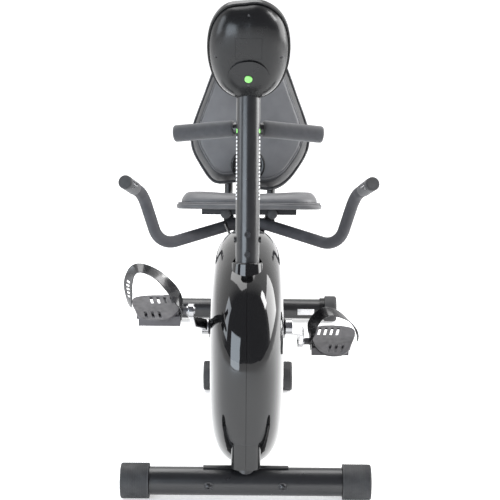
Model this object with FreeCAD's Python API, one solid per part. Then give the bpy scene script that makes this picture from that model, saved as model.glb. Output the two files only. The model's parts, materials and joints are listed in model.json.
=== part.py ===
"""Recumbent exercise bike: frame, drive, seat, console and the parts that move. Millimetres, +Z up.

The rider faces -Y. X is across the bike, with the rider's left hand at +X.
The origin is on the floor, under the middle of the bike's bounding box.
"""

import FreeCAD, Part
import math
import os

V = FreeCAD.Vector

# Overall layout
FRONT_Y = -640.0
CENTRE_Y = 40.0
REAR_Y = 661.0
FOOT_RADIUS = 37.5
FOOT_TUBE_RADIUS = 30.0
TUBE_WALL = 2.0
AXIS_Z = FOOT_RADIUS
STABILISER_HALF = 264.0
FRONT_CAP_LENGTH = 60.0
ROLLER_AXLE_RADIUS = 6.0
CENTRE_FOOT_HALF = 114.5
CENTRE_CAP_LENGTH = 42.0
CAP_END = 6.0
CAP_FLAT_DEPTH = 0.4
LEVEL_LENGTH = 36.0
LEVEL_OFFSET = 1.0
COLLAR_LENGTH = 15.0
RUNNING_GAP = 0.05
SLIVER_GAP = 0.05
SADDLE_THICKNESS = 3.5
SADDLE_HALF = 90.0
STABILISER_BOLT_X = 78.0

# Console post, a straight line that leans back from the front stabiliser
POST_LEAN = math.radians(10.5)
POST_RADIUS = 25.0
POST_BOTTOM_Z = 462.0
POST_TOP_Z = 842.0
COLUMN_TOP_Z = 580.0

# Crank and drive
CRANK_Y = FRONT_Y + 150.0
CRANK_Z = 333.0
CRANK_LENGTH = 170.0
CRANK_ANGLE = math.radians(28.0)
CRANK_ROOT_X = 90.0
CRANK_PEDAL_X = {1: 121.0, -1: 114.0}
CRANK_ARM_ROUND = 3.0
CRANK_PULLEY_RADIUS = 124.0
PULLEY_X = 37.0
PULLEY_WIDTH = 14.0
BELT_WIDTH = 10.0
BELT_THICKNESS = 2.5
FLYWHEEL_Y = FRONT_Y + 410.0
FLYWHEEL_Z = 288.0
FLYWHEEL_RADIUS = 118.0
FLYWHEEL_AXLE_RADIUS = 6.0
FLYWHEEL_PULLEY_RADIUS = 15.5
BRAKE_PIVOT = (FLYWHEEL_Y - 56.0, FLYWHEEL_Z + 120.6)
BRAKE_PIN_RADIUS = 4.0

# Pedals
PEDAL_WIDTH = 96.0
PEDAL_MIDDLE_X = {1: 196.0, -1: 185.0}
PEDAL_TILT_RIGHT = math.radians(15.0)
PEDAL_TILT_LEFT = math.radians(25.0)

# Shroud
SHROUD_HALF = 78.0
SHROUD_WALL = 3.0
SHROUD_FLAT = 0.5
SHROUD_POWER = 2.5
SHROUD_CENTRE = (FRONT_Y + 215.0, 285.0)
SHROUD_SEAM = 0.3

# Frame behind the shroud
BEAM_HALF = 25.0
BEAM_BOTTOM = 72.0
BEAM_TOP = 132.0
RAIL_HALF = 30.0
RAIL_BOTTOM = 300.0
RAIL_TOP = 340.0
RAIL_FRONT_Y = 60.0
RAIL_REAR_Y = 590.0

# Seat
SEAT_TILT = math.radians(11.5)
SEAT_FRONT = V(0, FRONT_Y + 775.0, 458.0)
SEAT_LENGTH = 360.0
SEAT_FRONT_HALF = 192.0
SEAT_REAR_HALF = 178.0
SEAT_BASE_THICKNESS = 14.0
SEAT_BASE_ROUND = 5.5
SEAT_CUSHION_THICKNESS = 33.0
SEAT_TUBE_RADIUS = 12.0
SEAT_TUBE_X = 61.0
CARRIAGE_FRONT_Y = 220.0
CARRIAGE_REAR_Y = 370.0
CARRIAGE_HALF = 42.0
CARRIAGE_TOP = 374.0
BACK_RECLINE = math.radians(12.0)
BACK_BOTTOM = V(0, FRONT_Y + 1172.0, 443.0)
BACK_THICKNESS = 46.0
BACK_SHELL_THICKNESS = 8.0

# Seat handles
HANDLE_RADIUS = 15.5
GRIP_RADIUS = 17.2

# Front handlebar
BAR_Z = 770.0
BAR_RADIUS = 12.5
BAR_FOAM_RADIUS = 18.0

# Console
CONSOLE_TILT = math.radians(24.0)
CONSOLE_CENTRE = V(0, FRONT_Y + 135.0, 931.0)
CONSOLE_DEPTH = 54.0
CONSOLE_WALL = 2.5
BEZEL_THICKNESS = 15.0
RIM_DEPTH = 7.0
BACK_SHARE = 0.96
HOOD_PROUD = 4.0
CAP_UP = -34.0
CAP_RADIUS = 8.0

os.makedirs("parts", exist_ok=True)


def save(name, *solids):
    """Writes one node, which may hold several separate solids."""
    shape = solids[0] if len(solids) == 1 else Part.makeCompound(list(solids))
    bad = [s for s in shape.Solids if not s.isValid() or s.Volume <= 0]
    if bad or not shape.Solids:
        print("CHECK", name, len(shape.Solids), "solids,", len(bad), "not valid")
    shape.exportStep(f"parts/{name}.step")


def rod(radius, start, end):
    """A solid cylinder from one point to another."""
    along = end - start
    return Part.makeCylinder(radius, along.Length, start, along)


def rounded_rod(radius, start, end, rounding):
    """A solid cylinder with both of its rims rounded."""
    body = rod(radius, start, end)
    return body.makeFillet(rounding, [e for e in body.Edges if e.Closed])


def rounded_loop(corners, radius):
    """A closed flat wire through four corners, each turned into an arc."""
    edges = []
    count = len(corners)
    for i, corner in enumerate(corners):
        back = (corners[i - 1] - corner).normalize()
        on = (corners[(i + 1) % count] - corner).normalize()
        start, end = corner + back * radius, corner + on * radius
        mid = corner + (back + on) * (radius * (1 - math.sqrt(0.5)))
        edges.append(Part.Arc(start, mid, end).toShape())
        following = corners[(i + 1) % count]
        edges.append(Part.LineSegment(end, following + (corner - following).normalize() * radius).toShape())
    return Part.Wire(edges)


def pipe(outer, inner, start, end):
    """A straight hollow tube from one point to another."""
    along = (end - start).normalize()
    return rod(outer, start, end).cut(rod(inner, start - along, end + along))


def box(x0, x1, y0, y1, z0, z1):
    """A block between two corners."""
    return Part.makeBox(x1 - x0, y1 - y0, z1 - z0, V(x0, y0, z0))


def rounded_box(x0, x1, y0, y1, z0, z1, radius, direction):
    """A block with its four edges along one direction rounded."""
    block = box(x0, x1, y0, y1, z0, z1)
    edges = [e for e in block.Edges if abs(e.tangentAt(e.FirstParameter).dot(direction)) > 0.99]
    return block.makeFillet(radius, edges)


def bent_path(points, bend):
    """A wire of straight runs joined by tangent arcs of one bend radius, or one radius for each bend."""
    radii = bend if isinstance(bend, (list, tuple)) else [bend] * (len(points) - 2)
    edges = []
    last = points[0]
    for before, corner, after, radius in zip(points, points[1:], points[2:], radii):
        back = (before - corner).normalize()
        on = (after - corner).normalize()
        turn = math.pi - back.getAngle(on)
        reach = radius * math.tan(turn / 2)
        start, end = corner + back * reach, corner + on * reach
        middle = (back + on).normalize()
        mid = corner + middle * (radius / math.cos(turn / 2) - radius)
        edges.append(Part.LineSegment(last, start).toShape())
        edges.append(Part.Arc(start, mid, end).toShape())
        last = end
    edges.append(Part.LineSegment(last, points[-1]).toShape())
    return Part.Wire(edges)


def swept_rod(path, radius):
    """A round bar that follows a path."""
    first = path.Edges[0]
    start = first.valueAt(first.FirstParameter)
    along = first.tangentAt(first.FirstParameter)
    ring = Part.Wire(Part.makeCircle(radius, start, along))
    return path.makePipeShell([ring], True, False)


def swept_tube(path, outer, inner):
    """A round hollow tube that follows a path."""
    return swept_rod(path, outer).cut(swept_rod(path, inner))


def both(shape):
    """A solid and its mirror image across the bike."""
    return [shape, shape.mirror(V(0, 0, 0), V(1, 0, 0))]


def post_axis(z, x=0.0):
    """The point of the post's axis at a height."""
    return V(x, FRONT_Y + (z - AXIS_Z) * math.tan(POST_LEAN), z)


POST_UP = V(0, math.sin(POST_LEAN), math.cos(POST_LEAN))
POST_REAR = V(0, math.cos(POST_LEAN), -math.sin(POST_LEAN))


CABLE_EXIT = (post_axis(405.0) + POST_REAR * 12, post_axis(398.0) + POST_REAR * 42)


def closed_curve(points):
    """A smooth closed wire through points, with its parameter spread by the distances between them."""
    places = [0.0]
    for here, there in zip(points, points[1:] + points[:1]):
        places.append(places[-1] + (there - here).Length)
    curve = Part.BSplineCurve()
    curve.interpolate(Points=points, PeriodicFlag=True, Parameters=[p / places[-1] for p in places])
    return Part.Wire(curve.toShape())


def dome(outline, place, depth, flat, power, steps):
    """A solid from an outline that shrinks smoothly to a flat of a given share over a depth.

    outline is a list of (across, up) pairs about a centre, and place turns (across, up, out) into a point.
    """
    wires = []
    for i in range(steps + 1):
        t = math.pi / 2 * i / steps
        out = depth * math.sin(t) ** (2 / power)
        scale = flat + (1 - flat) * math.cos(t) ** (2 / power)
        wires.append(closed_curve([place(a * scale, b * scale, out) for a, b in outline]))
    return Part.makeLoft(wires, True, False)


# Floor bars


def saddle(y, half, first_angle, last_angle):
    """A curved plate round part of a floor tube. Angles are in degrees from +Y upwards."""
    axis = V(0, y, AXIS_Z)
    inner, outer = FOOT_TUBE_RADIUS, FOOT_TUBE_RADIUS + SADDLE_THICKNESS
    corners = [axis + V(x, r, 0) for x, r in ((-half, inner), (half, inner), (half, outer), (-half, outer))]
    strip = Part.Face(Part.makePolygon(corners + corners[:1]))
    strip.rotate(axis, V(1, 0, 0), first_angle)
    return strip.revolve(axis, V(1, 0, 0), last_angle - first_angle)


def floor_tube(y, half):
    return pipe(FOOT_TUBE_RADIUS, FOOT_TUBE_RADIUS - TUBE_WALL, V(-half, y, AXIS_Z), V(half, y, AXIS_Z))


def rim_edges(body, x):
    """The round edges of a body at one place across the bike."""
    return [e for e in body.Edges if abs(e.CenterOfMass.x - x) < 0.1 and e.Length > 6 * FOOT_TUBE_RADIUS]


def ribbed(body, x0, x1, y, radius, count, depth):
    """Cuts shallow grooves round a foot, evenly spaced from x0 to x1."""
    for i in range(1, count):
        x = x0 + (x1 - x0) * i / count
        ring = pipe(radius + 2, radius - depth, V(x - 0.6, y, AXIS_Z), V(x + 0.6, y, AXIS_Z))
        body = body.cut(ring)
    return body


def floor_cap(x0, x1, y):
    """A rubber foot round a floor tube's end, open at x0 and closed at x1, with a flat to stand on."""
    sign = 1 if x1 > x0 else -1
    length = abs(x1 - x0)
    radius = FOOT_RADIUS + CAP_FLAT_DEPTH
    body = Part.makeCylinder(radius, length, V(x0, y, AXIS_Z), V(sign, 0, 0))
    body = ribbed(body.makeFillet(6.0, rim_edges(body, x1)), x0, x1, y, radius, 6, 0.8)
    socket = Part.makeCylinder(FOOT_TUBE_RADIUS, length - CAP_END + 1, V(x0 - sign, y, AXIS_Z), V(sign, 0, 0))
    return body.cut([socket, box(-200, 200, y - 50, y + 50, -10, 0)])


def front_stabiliser():
    half = STABILISER_HALF - FRONT_CAP_LENGTH - 1.0
    tube = floor_tube(FRONT_Y, half)
    for x in (-STABILISER_BOLT_X, STABILISER_BOLT_X):
        tube = tube.cut(rod(4.3, V(x, FRONT_Y - 40, AXIS_Z), V(x, FRONT_Y + 40, AXIS_Z)))
    save("front_stabiliser", tube)
    plugs = []
    for side in (-1, 1):
        inner = half * side
        plug_start = V(inner - 20 * side, FRONT_Y, AXIS_Z)
        plug = rod(FOOT_TUBE_RADIUS - TUBE_WALL, plug_start, V(inner, FRONT_Y, AXIS_Z))
        axle_end = V((STABILISER_HALF - 8) * side, FRONT_Y, AXIS_Z)
        axle = rod(ROLLER_AXLE_RADIUS, V(inner, FRONT_Y, AXIS_Z), axle_end)
        plugs.append(plug.fuse(axle))
    save("roller_axles", *plugs)


def front_roller(side):
    """A transport roller that spins on its plug's axle."""
    x0, x1 = (STABILISER_HALF - FRONT_CAP_LENGTH) * side, STABILISER_HALF * side
    body = Part.makeCylinder(FOOT_RADIUS, FRONT_CAP_LENGTH, V(x0, FRONT_Y, AXIS_Z), V(side, 0, 0))
    body = body.makeFillet(4.0, rim_edges(body, x1))
    body = ribbed(body, x0, x1, FRONT_Y, FOOT_RADIUS, 12, 0.7)
    bore_end = V((STABILISER_HALF - 7.5) * side, FRONT_Y, AXIS_Z)
    return body.cut(rod(ROLLER_AXLE_RADIUS + RUNNING_GAP, V(x0 - side, FRONT_Y, AXIS_Z), bore_end))


def centre_foot():
    """The short support in the middle, with a rubber foot at each end."""
    save("centre_foot", floor_tube(CENTRE_Y, CENTRE_FOOT_HALF - CAP_END))
    inner = CENTRE_FOOT_HALF - CENTRE_CAP_LENGTH
    save("centre_foot_caps", *[floor_cap(inner * side, CENTRE_FOOT_HALF * side, CENTRE_Y) for side in (-1, 1)])


def rear_stabiliser():
    half = STABILISER_HALF - 8
    tube = floor_tube(REAR_Y, half)
    for x in (-STABILISER_BOLT_X, STABILISER_BOLT_X):
        tube = tube.cut(rod(4.3, V(x, REAR_Y - 40, AXIS_Z), V(x, REAR_Y + 40, AXIS_Z)))
    save("rear_stabiliser", tube)
    collars = []
    for side in (-1, 1):
        outer = (STABILISER_HALF - LEVEL_LENGTH - 0.5) * side
        inner = outer - COLLAR_LENGTH * side
        collars.append(pipe(33.5, FOOT_TUBE_RADIUS, V(inner, REAR_Y, AXIS_Z), V(outer, REAR_Y, AXIS_Z)))
    save("rear_collars", *collars)


def level_foot(side):
    """An eccentric foot: turning it raises its corner of the bike."""
    x0, x1 = (STABILISER_HALF - LEVEL_LENGTH) * side, STABILISER_HALF * side
    inner_end = V(x0, REAR_Y, AXIS_Z + LEVEL_OFFSET)
    body = Part.makeCylinder(FOOT_RADIUS + LEVEL_OFFSET, LEVEL_LENGTH, inner_end, V(side, 0, 0))
    body = body.makeFillet(8.0, rim_edges(body, x1))
    bore_end = V((STABILISER_HALF - 7.5) * side, REAR_Y, AXIS_Z)
    return body.cut(rod(FOOT_TUBE_RADIUS + 0.08, V(x0 - side, REAR_Y, AXIS_Z), bore_end))


def floor_bars():
    front_stabiliser()
    save("front_roller_left", front_roller(1))
    save("front_roller_right", front_roller(-1))
    centre_foot()
    rear_stabiliser()
    save("rear_level_foot_left", level_foot(1))
    save("rear_level_foot_right", level_foot(-1))


# Frame


def front_column():
    """The upright inside the shroud, with the curved saddle that bolts to the front stabiliser."""
    top, bottom = post_axis(COLUMN_TOP_Z), post_axis(AXIS_Z)
    outer = POST_RADIUS - 2.1
    column = rod(outer, bottom, top)
    plate = saddle(FRONT_Y, SADDLE_HALF, 0.0, 100.0)
    clear = rod(FOOT_TUBE_RADIUS, V(-100, FRONT_Y, AXIS_Z), V(100, FRONT_Y, AXIS_Z))
    below = box(-60, 60, FRONT_Y - 60, FRONT_Y + 60, -20, AXIS_Z)
    column = column.cut(clear).cut(below)
    bore = rod(outer - 3.0, post_axis(90.0), post_axis(COLUMN_TOP_Z + 5))
    whole = column.fuse(plate).cut(bore)
    for x in (-STABILISER_BOLT_X, STABILISER_BOLT_X):
        whole = whole.cut(rod(4.3, V(x, FRONT_Y, AXIS_Z + 2), V(x, FRONT_Y + 60, AXIS_Z + 2)))
    for hole in post_bolt_lines():
        whole = whole.cut(rod(3.9, *hole))
    return whole.cut(rod(4.5, *CABLE_EXIT))


def post_bolt_lines():
    """Start and end points of the four bolts that hold the post to the column."""
    reach = POST_RADIUS + 0.2
    lines = []
    for z in (511.0, 552.0):
        centre = post_axis(z)
        lines.append((centre - POST_REAR * reach, centre - POST_REAR * 12))
    side_centre = post_axis(541.0)
    for side in (-1, 1):
        lines.append((side_centre + V(reach * side, 0, 0), side_centre + V(12 * side, 0, 0)))
    return lines


def button_head(place, outward):
    """A washer under a domed bolt head with a hexagonal socket."""
    washer = Part.makeCylinder(10.5, 1.2, place, outward)
    ball = Part.makeSphere(9.6, place - outward * 3.4)
    dome_part = ball.common(Part.makeCylinder(8.6, 12.0, place + outward * 0.6, outward))
    socket = [V(math.cos(math.pi / 3 * i), 0, math.sin(math.pi / 3 * i)) * 3.4 for i in range(6)]
    corners = [place + outward * 3.2 + corner for corner in socket]
    recess = Part.Face(Part.makePolygon(corners + corners[:1])).extrude(outward * 6)
    return washer.fuse(dome_part).cut(recess)


def frame_bolts():
    """Bolts of the stabilisers and of the post."""
    solids = []
    for y, out in ((FRONT_Y, -1), (REAR_Y, 1)):
        for x in (-STABILISER_BOLT_X, STABILISER_BOLT_X):
            face = y + out * (FOOT_TUBE_RADIUS + 0.1)
            shank = rod(4.0, V(x, face, AXIS_Z), V(x, y - out * (FOOT_TUBE_RADIUS + 12), AXIS_Z))
            head = button_head(V(x, face, AXIS_Z), V(0, out, 0))
            nut_y = y - out * (FOOT_TUBE_RADIUS + SADDLE_THICKNESS + 0.6)
            nut = Part.makeCylinder(7.5, 6.5, V(x, nut_y, AXIS_Z), V(0, -out, 0))
            solids.append(shank.fuse([head, nut]))
    for start, end in post_bolt_lines():
        outward = (start - end).normalize()
        head = Part.makeCylinder(6.5, 3.2, start, outward)
        socket = Part.makeCylinder(3.0, 2.5, start + outward * 1.2, outward)
        solids.append(rod(3.8, end, start).fuse(head).cut(socket))
    save("frame_bolts", *solids)


def lower_beam():
    """The low main beam, with a saddle at the centre foot and one at the rear stabiliser."""
    front = FRONT_Y + 18.0
    body = rounded_box(-BEAM_HALF, BEAM_HALF, front, REAR_Y + 25, BEAM_BOTTOM, BEAM_TOP, 6, V(0, 1, 0))
    hollow = box(-BEAM_HALF + 2.5, BEAM_HALF - 2.5, front + 60, REAR_Y + 26, BEAM_BOTTOM + 2.5, BEAM_TOP - 2.5)
    body = body.cut(hollow)
    for y in (CENTRE_Y, REAR_Y):
        half_depth = 24
        block = box(-BEAM_HALF, BEAM_HALF, y - half_depth, y + half_depth, AXIS_Z + 14, BEAM_BOTTOM + 0.5)
        body = body.fuse(block)
    for y in (CENTRE_Y, REAR_Y):
        body = body.cut(rod(FOOT_TUBE_RADIUS, V(-60, y, AXIS_Z), V(60, y, AXIS_Z)))
    rear_plate = saddle(REAR_Y, SADDLE_HALF, 90.0, 195.0)
    body = body.fuse(rear_plate)
    for x in (-STABILISER_BOLT_X, STABILISER_BOLT_X):
        body = body.cut(rod(4.3, V(x, REAR_Y - 60, AXIS_Z), V(x, REAR_Y, AXIS_Z)))
    column = rod(POST_RADIUS - 2.1, post_axis(AXIS_Z), post_axis(200))
    front_tube = rod(FOOT_TUBE_RADIUS + SADDLE_THICKNESS, V(-100, FRONT_Y, AXIS_Z), V(100, FRONT_Y, AXIS_Z))
    return body.cut(column).cut(front_tube)


def crank_housing():
    """The bearing shell, joined to the column by two gusset plates."""
    shell = pipe(20.0, 16.0, V(-36, CRANK_Y, CRANK_Z), V(36, CRANK_Y, CRANK_Z))
    start = post_axis(CRANK_Z)
    plates = [box(x0, x0 + 5, start.y, CRANK_Y, CRANK_Z - 26, CRANK_Z + 26) for x0 in (-17, 12)]
    whole = shell.fuse(plates)
    whole = whole.cut(rod(POST_RADIUS - 2.1, post_axis(200), post_axis(450)))
    return whole.cut(rod(16.0, V(-40, CRANK_Y, CRANK_Z), V(40, CRANK_Y, CRANK_Z)))


def crank_bearings():
    rings = [pipe(16.0, 8.52, V(x, CRANK_Y, CRANK_Z), V(x + 11, CRANK_Y, CRANK_Z)) for x in (-35, 24)]
    save("crank_bearings", *rings)


def flywheel_bracket():
    """Two plates from the beam that carry the flywheel's axle, and the arm and pin of the brake's pivot."""
    plates = []
    for x0 in (-40.0, 56.0):
        front, rear = FLYWHEEL_Y - 26, FLYWHEEL_Y + 26
        plate = box(x0, x0 + 4, front, rear, BEAM_TOP, FLYWHEEL_Z + 22)
        edge = math.copysign(BEAM_HALF - 4, x0)
        foot = box(min(x0, edge), max(x0 + 4, edge), front, rear, BEAM_TOP, BEAM_TOP + 4)
        hole = rod(6.0, V(x0 - 1, FLYWHEEL_Y, FLYWHEEL_Z), V(x0 + 5, FLYWHEEL_Y, FLYWHEEL_Z))
        plates.append(plate.fuse(foot).cut(hole))
    y, z = BRAKE_PIVOT
    pin = rod(BRAKE_PIN_RADIUS, V(-44, y, z), V(14, y, z))
    post = box(-44, -38, y - 10, y + 10, FLYWHEEL_Z - 40, z + 8)
    link = box(-44, -40, y - 10, FLYWHEEL_Y, FLYWHEEL_Z - 40, FLYWHEEL_Z - 20)
    plates[0] = plates[0].fuse([pin, post, link])
    return plates


def seat_upright():
    """The column that carries the seat's rail, with a gusset each way."""
    y0, y1 = 250.0, 330.0
    wall = 3.0
    outer = rounded_box(-27, 27, y0, y1, BEAM_TOP, RAIL_BOTTOM, 8, V(0, 0, 1))
    inner = box(-27 + wall, 27 - wall, y0 + wall, y1 - wall, BEAM_TOP - 1, RAIL_BOTTOM - 4)
    gussets = []
    for foot_y, top_y in ((y0, y0 - 70), (y1, y1 + 70)):
        corners = [V(-4, foot_y, RAIL_BOTTOM), V(-4, top_y, RAIL_BOTTOM), V(-4, foot_y, RAIL_BOTTOM - 80)]
        face = Part.Face(Part.makePolygon(corners + corners[:1]))
        gussets.append(face.extrude(V(8, 0, 0)))
    return outer.cut(inner).fuse(gussets)


def seat_rail():
    body = rounded_box(-RAIL_HALF, RAIL_HALF, RAIL_FRONT_Y, RAIL_REAR_Y, RAIL_BOTTOM, RAIL_TOP, 4, V(0, 1, 0))
    wall = 3.0
    bore_half = RAIL_HALF - wall
    bore = box(-bore_half, bore_half, RAIL_FRONT_Y - 1, RAIL_REAR_Y + 1, RAIL_BOTTOM + wall, RAIL_TOP - wall)
    body = body.cut(bore)
    for i in range(11):
        y = RAIL_FRONT_Y + 60 + i * 40
        hole_z = RAIL_BOTTOM + 20
        body = body.cut(rod(5.0, V(-RAIL_HALF - 1, y, hole_z), V(-RAIL_HALF + 5, y, hole_z)))
    return body


def frame():
    save("front_column", front_column())
    frame_bolts()
    save("lower_beam", lower_beam())
    save("crank_housing", crank_housing())
    crank_bearings()
    save("flywheel_bracket", *flywheel_bracket())
    save("seat_upright", seat_upright())
    save("seat_rail", seat_rail())


# Shroud


def shroud_outline():
    """The shroud's side outline about its centre, as (along the bike, up)."""
    points = [
        (-60, 240), (-53, 335), (-20, 415), (38, 470), (130, 508), (235, 522), (345, 505), (440, 458),
        (515, 380), (556, 285), (548, 185), (490, 105), (390, 62), (270, 47), (150, 44), (72, 50),
        (14, 78), (-32, 130),
    ]
    cy, cz = SHROUD_CENTRE
    return [(FRONT_Y + y - cy, z - cz) for y, z in points]


def shroud_dome(side, inset):
    """One half of the shroud as a full solid, shrunk inwards by an inset."""
    cy, cz = SHROUD_CENTRE
    shrink = 1 - inset / 225.0

    def place(across, up, out):
        return V((out + SHROUD_SEAM) * side, cy + across, cz + up)

    outline = [(a * shrink, b * shrink) for a, b in shroud_outline()]
    return dome(outline, place, SHROUD_HALF - inset, SHROUD_FLAT, SHROUD_POWER, 7)


NECK_BOTTOM = 75.0
NECK_TOP = 150.0


def shroud_half(side):
    """One shell of the shroud, with its half of the neck round the column's foot."""
    near, far = sorted((SHROUD_SEAM * side, 200.0 * side))
    neck = rounded_box(-31, 31, FRONT_Y - 32, FRONT_Y + 46, NECK_BOTTOM, NECK_TOP, 19, V(0, 0, 1))
    neck = neck.common(box(near, far, -900, 900, -100, 900))
    outer = shroud_dome(side, 0).fuse(neck)
    shell = outer.cut(shroud_dome(side, SHROUD_WALL))
    bottom, top = NECK_BOTTOM - 1, NECK_TOP + 4
    shell = shell.cut(rounded_box(-28, 28, FRONT_Y - 29, FRONT_Y + 43, bottom, top, 16, V(0, 0, 1)))
    shell = shell.cut(rod(POST_RADIUS + 7.5, post_axis(430), post_axis(560)))
    shell = shell.cut(rod(POST_RADIUS - 1.0, post_axis(AXIS_Z), post_axis(NECK_TOP)))
    shell = shell.cut(box(-BEAM_HALF - 0.5, BEAM_HALF + 0.5, FRONT_Y, 0, BEAM_BOTTOM - 0.5, BEAM_TOP + 0.5))
    shell = shell.cut(rod(17.0, V(30 * side, CRANK_Y, CRANK_Z), V(100 * side, CRANK_Y, CRANK_Z)))
    floor_tube_room = FOOT_TUBE_RADIUS + SADDLE_THICKNESS + 1
    shell = shell.cut(rod(floor_tube_room, V(-100, FRONT_Y, AXIS_Z), V(100, FRONT_Y, AXIS_Z)))
    pieces = sorted(shell.Solids, key=lambda s: -s.Volume)
    return pieces[0]


def post_collar():
    """The cover where the post leaves the shroud."""
    low, high = post_axis(452.0), post_axis(494.0)
    cone = Part.makeCone(37.0, 32.5, (high - low).Length, low, POST_UP)
    top_edges = [e for e in cone.Edges if abs(e.CenterOfMass.z - high.z) < 2 and e.Length > 150]
    cone = cone.makeFillet(3.0, top_edges)
    hole = rod(POST_RADIUS + 0.5, post_axis(400), post_axis(600))
    return cone.cut(hole)


def shroud():
    collar = post_collar()
    solid_collar = Part.makeCone(37.2, 32.7, 42.7, post_axis(452.0), POST_UP)
    for name, side in (("shroud_left", 1), ("shroud_right", -1)):
        save(name, shroud_half(side).cut(solid_collar))
    save("post_collar", collar)


# Post and front handlebar


def bar_centre():
    """The middle of the front handlebar, just behind the post."""
    return post_axis(BAR_Z) + POST_REAR * (POST_RADIUS + BAR_RADIUS + 4.0)


def bar_points():
    """The front handlebar's left half: out from the post, then swept back and down a little."""
    centre = bar_centre()
    return [centre, centre + V(24, 0, 0), centre + V(156, 30, -17)]


def console_post():
    """The post tube with the welded cradle that carries the front handlebar."""
    tube = pipe(POST_RADIUS, POST_RADIUS - 2.0, post_axis(POST_BOTTOM_Z), post_axis(POST_TOP_Z))
    centre = bar_centre()
    start = post_axis(BAR_Z)
    cradle = rod(11.0, start, centre)
    collar = rod(BAR_RADIUS + 4.0, centre - V(15, 0, 0), centre + V(15, 0, 0))
    cradle = cradle.fuse(collar)
    cradle = cradle.cut(rod(POST_RADIUS - 2.0, post_axis(BAR_Z - 80), post_axis(BAR_Z + 80)))
    cradle = cradle.cut(rod(BAR_RADIUS, centre - V(40, 0, 0), centre + V(40, 0, 0)))
    whole = tube.fuse(cradle)
    for hole in post_bolt_lines():
        whole = whole.cut(rod(3.9, *hole))
    knob = post_axis(KNOB_Z)
    return whole.cut(rod(4.0 + RUNNING_GAP, knob, knob + POST_REAR * 40))


KNOB_Z = 690.0


def front_handlebar():
    right = [V(-p.x, p.y, p.z) for p in bar_points()]
    points = [right[2], right[1], bar_points()[1], bar_points()[2]]
    path = bent_path(points, 50.0)
    save("handlebar_tube", swept_tube(path, BAR_RADIUS, BAR_RADIUS - 2.0))
    grips = []
    for side in (-1, 1):
        bend, end = bar_points()[1], bar_points()[2]
        along = (end - bend).normalize()
        start = bend + along * 6
        stop = end + along * 4
        if side < 0:
            start, stop = V(-start.x, start.y, start.z), V(-stop.x, stop.y, stop.z)
        foam = rod(BAR_FOAM_RADIUS, start, stop)
        far = [e for e in foam.Edges if abs(e.CenterOfMass.x - stop.x) < 2 and e.Length > 100]
        foam = foam.makeFillet(4.0, far)
        grips.append(foam.cut(swept_rod(path, BAR_RADIUS)))
    save("front_foam_grips", *[g.Solids[0] for g in grips])


def tension_knob():
    """The resistance knob on the rider's side of the post: a shaft and a fluted grip."""
    base = post_axis(KNOB_Z) + POST_REAR * (POST_RADIUS + 1.5)
    grip = Part.makeCone(25.0, 22.0, 22.0, base, POST_REAR)
    grip = grip.makeFillet(2.5, [e for e in grip.Edges if e.Length > 130 and e.Length < 142])
    flutes = 12
    for i in range(flutes):
        turn = 2 * math.pi * i / flutes
        out = V(1, 0, 0) * math.cos(turn) + POST_UP * math.sin(turn)
        centre = base + out * 27.0
        grip = grip.cut(rod(4.5, centre + POST_REAR * 5, centre + POST_REAR * 30))
    shaft = rod(4.0, base - POST_REAR * 18, base + POST_REAR * 2)
    return grip.fuse(shaft)


# Console

CONSOLE_UP = V(0, -math.sin(CONSOLE_TILT), math.cos(CONSOLE_TILT))
CONSOLE_OUT = V(0, math.cos(CONSOLE_TILT), math.sin(CONSOLE_TILT))


def console_outline():
    """The console's egg outline about its centre, as (across, up)."""
    right = [(42.5, 106), (70.5, 78), (83.5, 38), (85, -6), (77, -50), (57, -88), (29, -108)]
    left = [(-a, b) for a, b in reversed(right)]
    return [(0, 113)] + right + [(0, -113)] + left


def on_console(across, up, out):
    """A point from its place across, up and out of the console's face, towards the rider."""
    return CONSOLE_CENTRE + V(across, 0, 0) + CONSOLE_UP * up + CONSOLE_OUT * out


def console_back_dome(inset):
    """The console's back as a full solid, a little inside the rim and shrunk inwards by an inset."""
    shrink = BACK_SHARE - inset / 100.0
    outline = [(a * shrink, b * shrink) for a, b in console_outline()]
    return dome(outline, lambda a, b, out: on_console(a, b, -out), CONSOLE_DEPTH - inset, 0.3, 2.1, 7)


def hood_outline():
    """The arch that the hood makes on the console's back, as (across, up)."""
    right = [(22, 1), (37, -13), (43, -31), (41, -48), (34, -64), (28.5, -80), (24, -96)]
    return [(0, 6)] + right + [(-a, b) for a, b in reversed(right)]


def console_neck():
    """The hood that flares from the post's top and stands a little proud of the console's back."""
    flare = Part.makeCone(28.0, 42.0, 48.0, post_axis(838.0), POST_UP)
    arch = Part.Face(closed_curve([on_console(a, b, -90) for a, b in hood_outline()]))
    return flare.fuse(arch.extrude(CONSOLE_OUT * 90).common(console_back_dome(-HOOD_PROUD)))


BATTERY_UP, BATTERY_HALF_X, BATTERY_HALF_UP = 33.0, 27.0, 23.0


def battery_prism(grow):
    """A block through the back of the console where its battery door is."""
    half_x, half_up = BATTERY_HALF_X + grow, BATTERY_HALF_UP + grow
    corners = [
        on_console(half_x * a, BATTERY_UP + half_up * b, -80) for a, b in ((-1, -1), (1, -1), (1, 1), (-1, 1))
    ]
    face = Part.Face(Part.makePolygon(corners + corners[:1]))
    return face.extrude(CONSOLE_OUT * 60)


CONSOLE_SCREWS = ((0, 95), (-67, 6), (67, 6), (0, -51))


def console_back():
    front_side = [on_console(a, b, 0) for a, b in ((-200, -200), (200, -200), (200, 200), (-200, 200))]
    keep = Part.Face(Part.makePolygon(front_side + front_side[:1])).extrude(CONSOLE_OUT * -200)
    outer = console_back_dome(0).fuse(console_neck().common(keep))
    inner = console_back_dome(CONSOLE_WALL)
    shell = outer.cut(inner)
    shell = shell.cut(rod(POST_RADIUS + 0.1, post_axis(800), post_axis(POST_TOP_Z + 0.5)))
    pieces = sorted(shell.Solids, key=lambda s: -s.Volume)
    return pieces[0]


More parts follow.
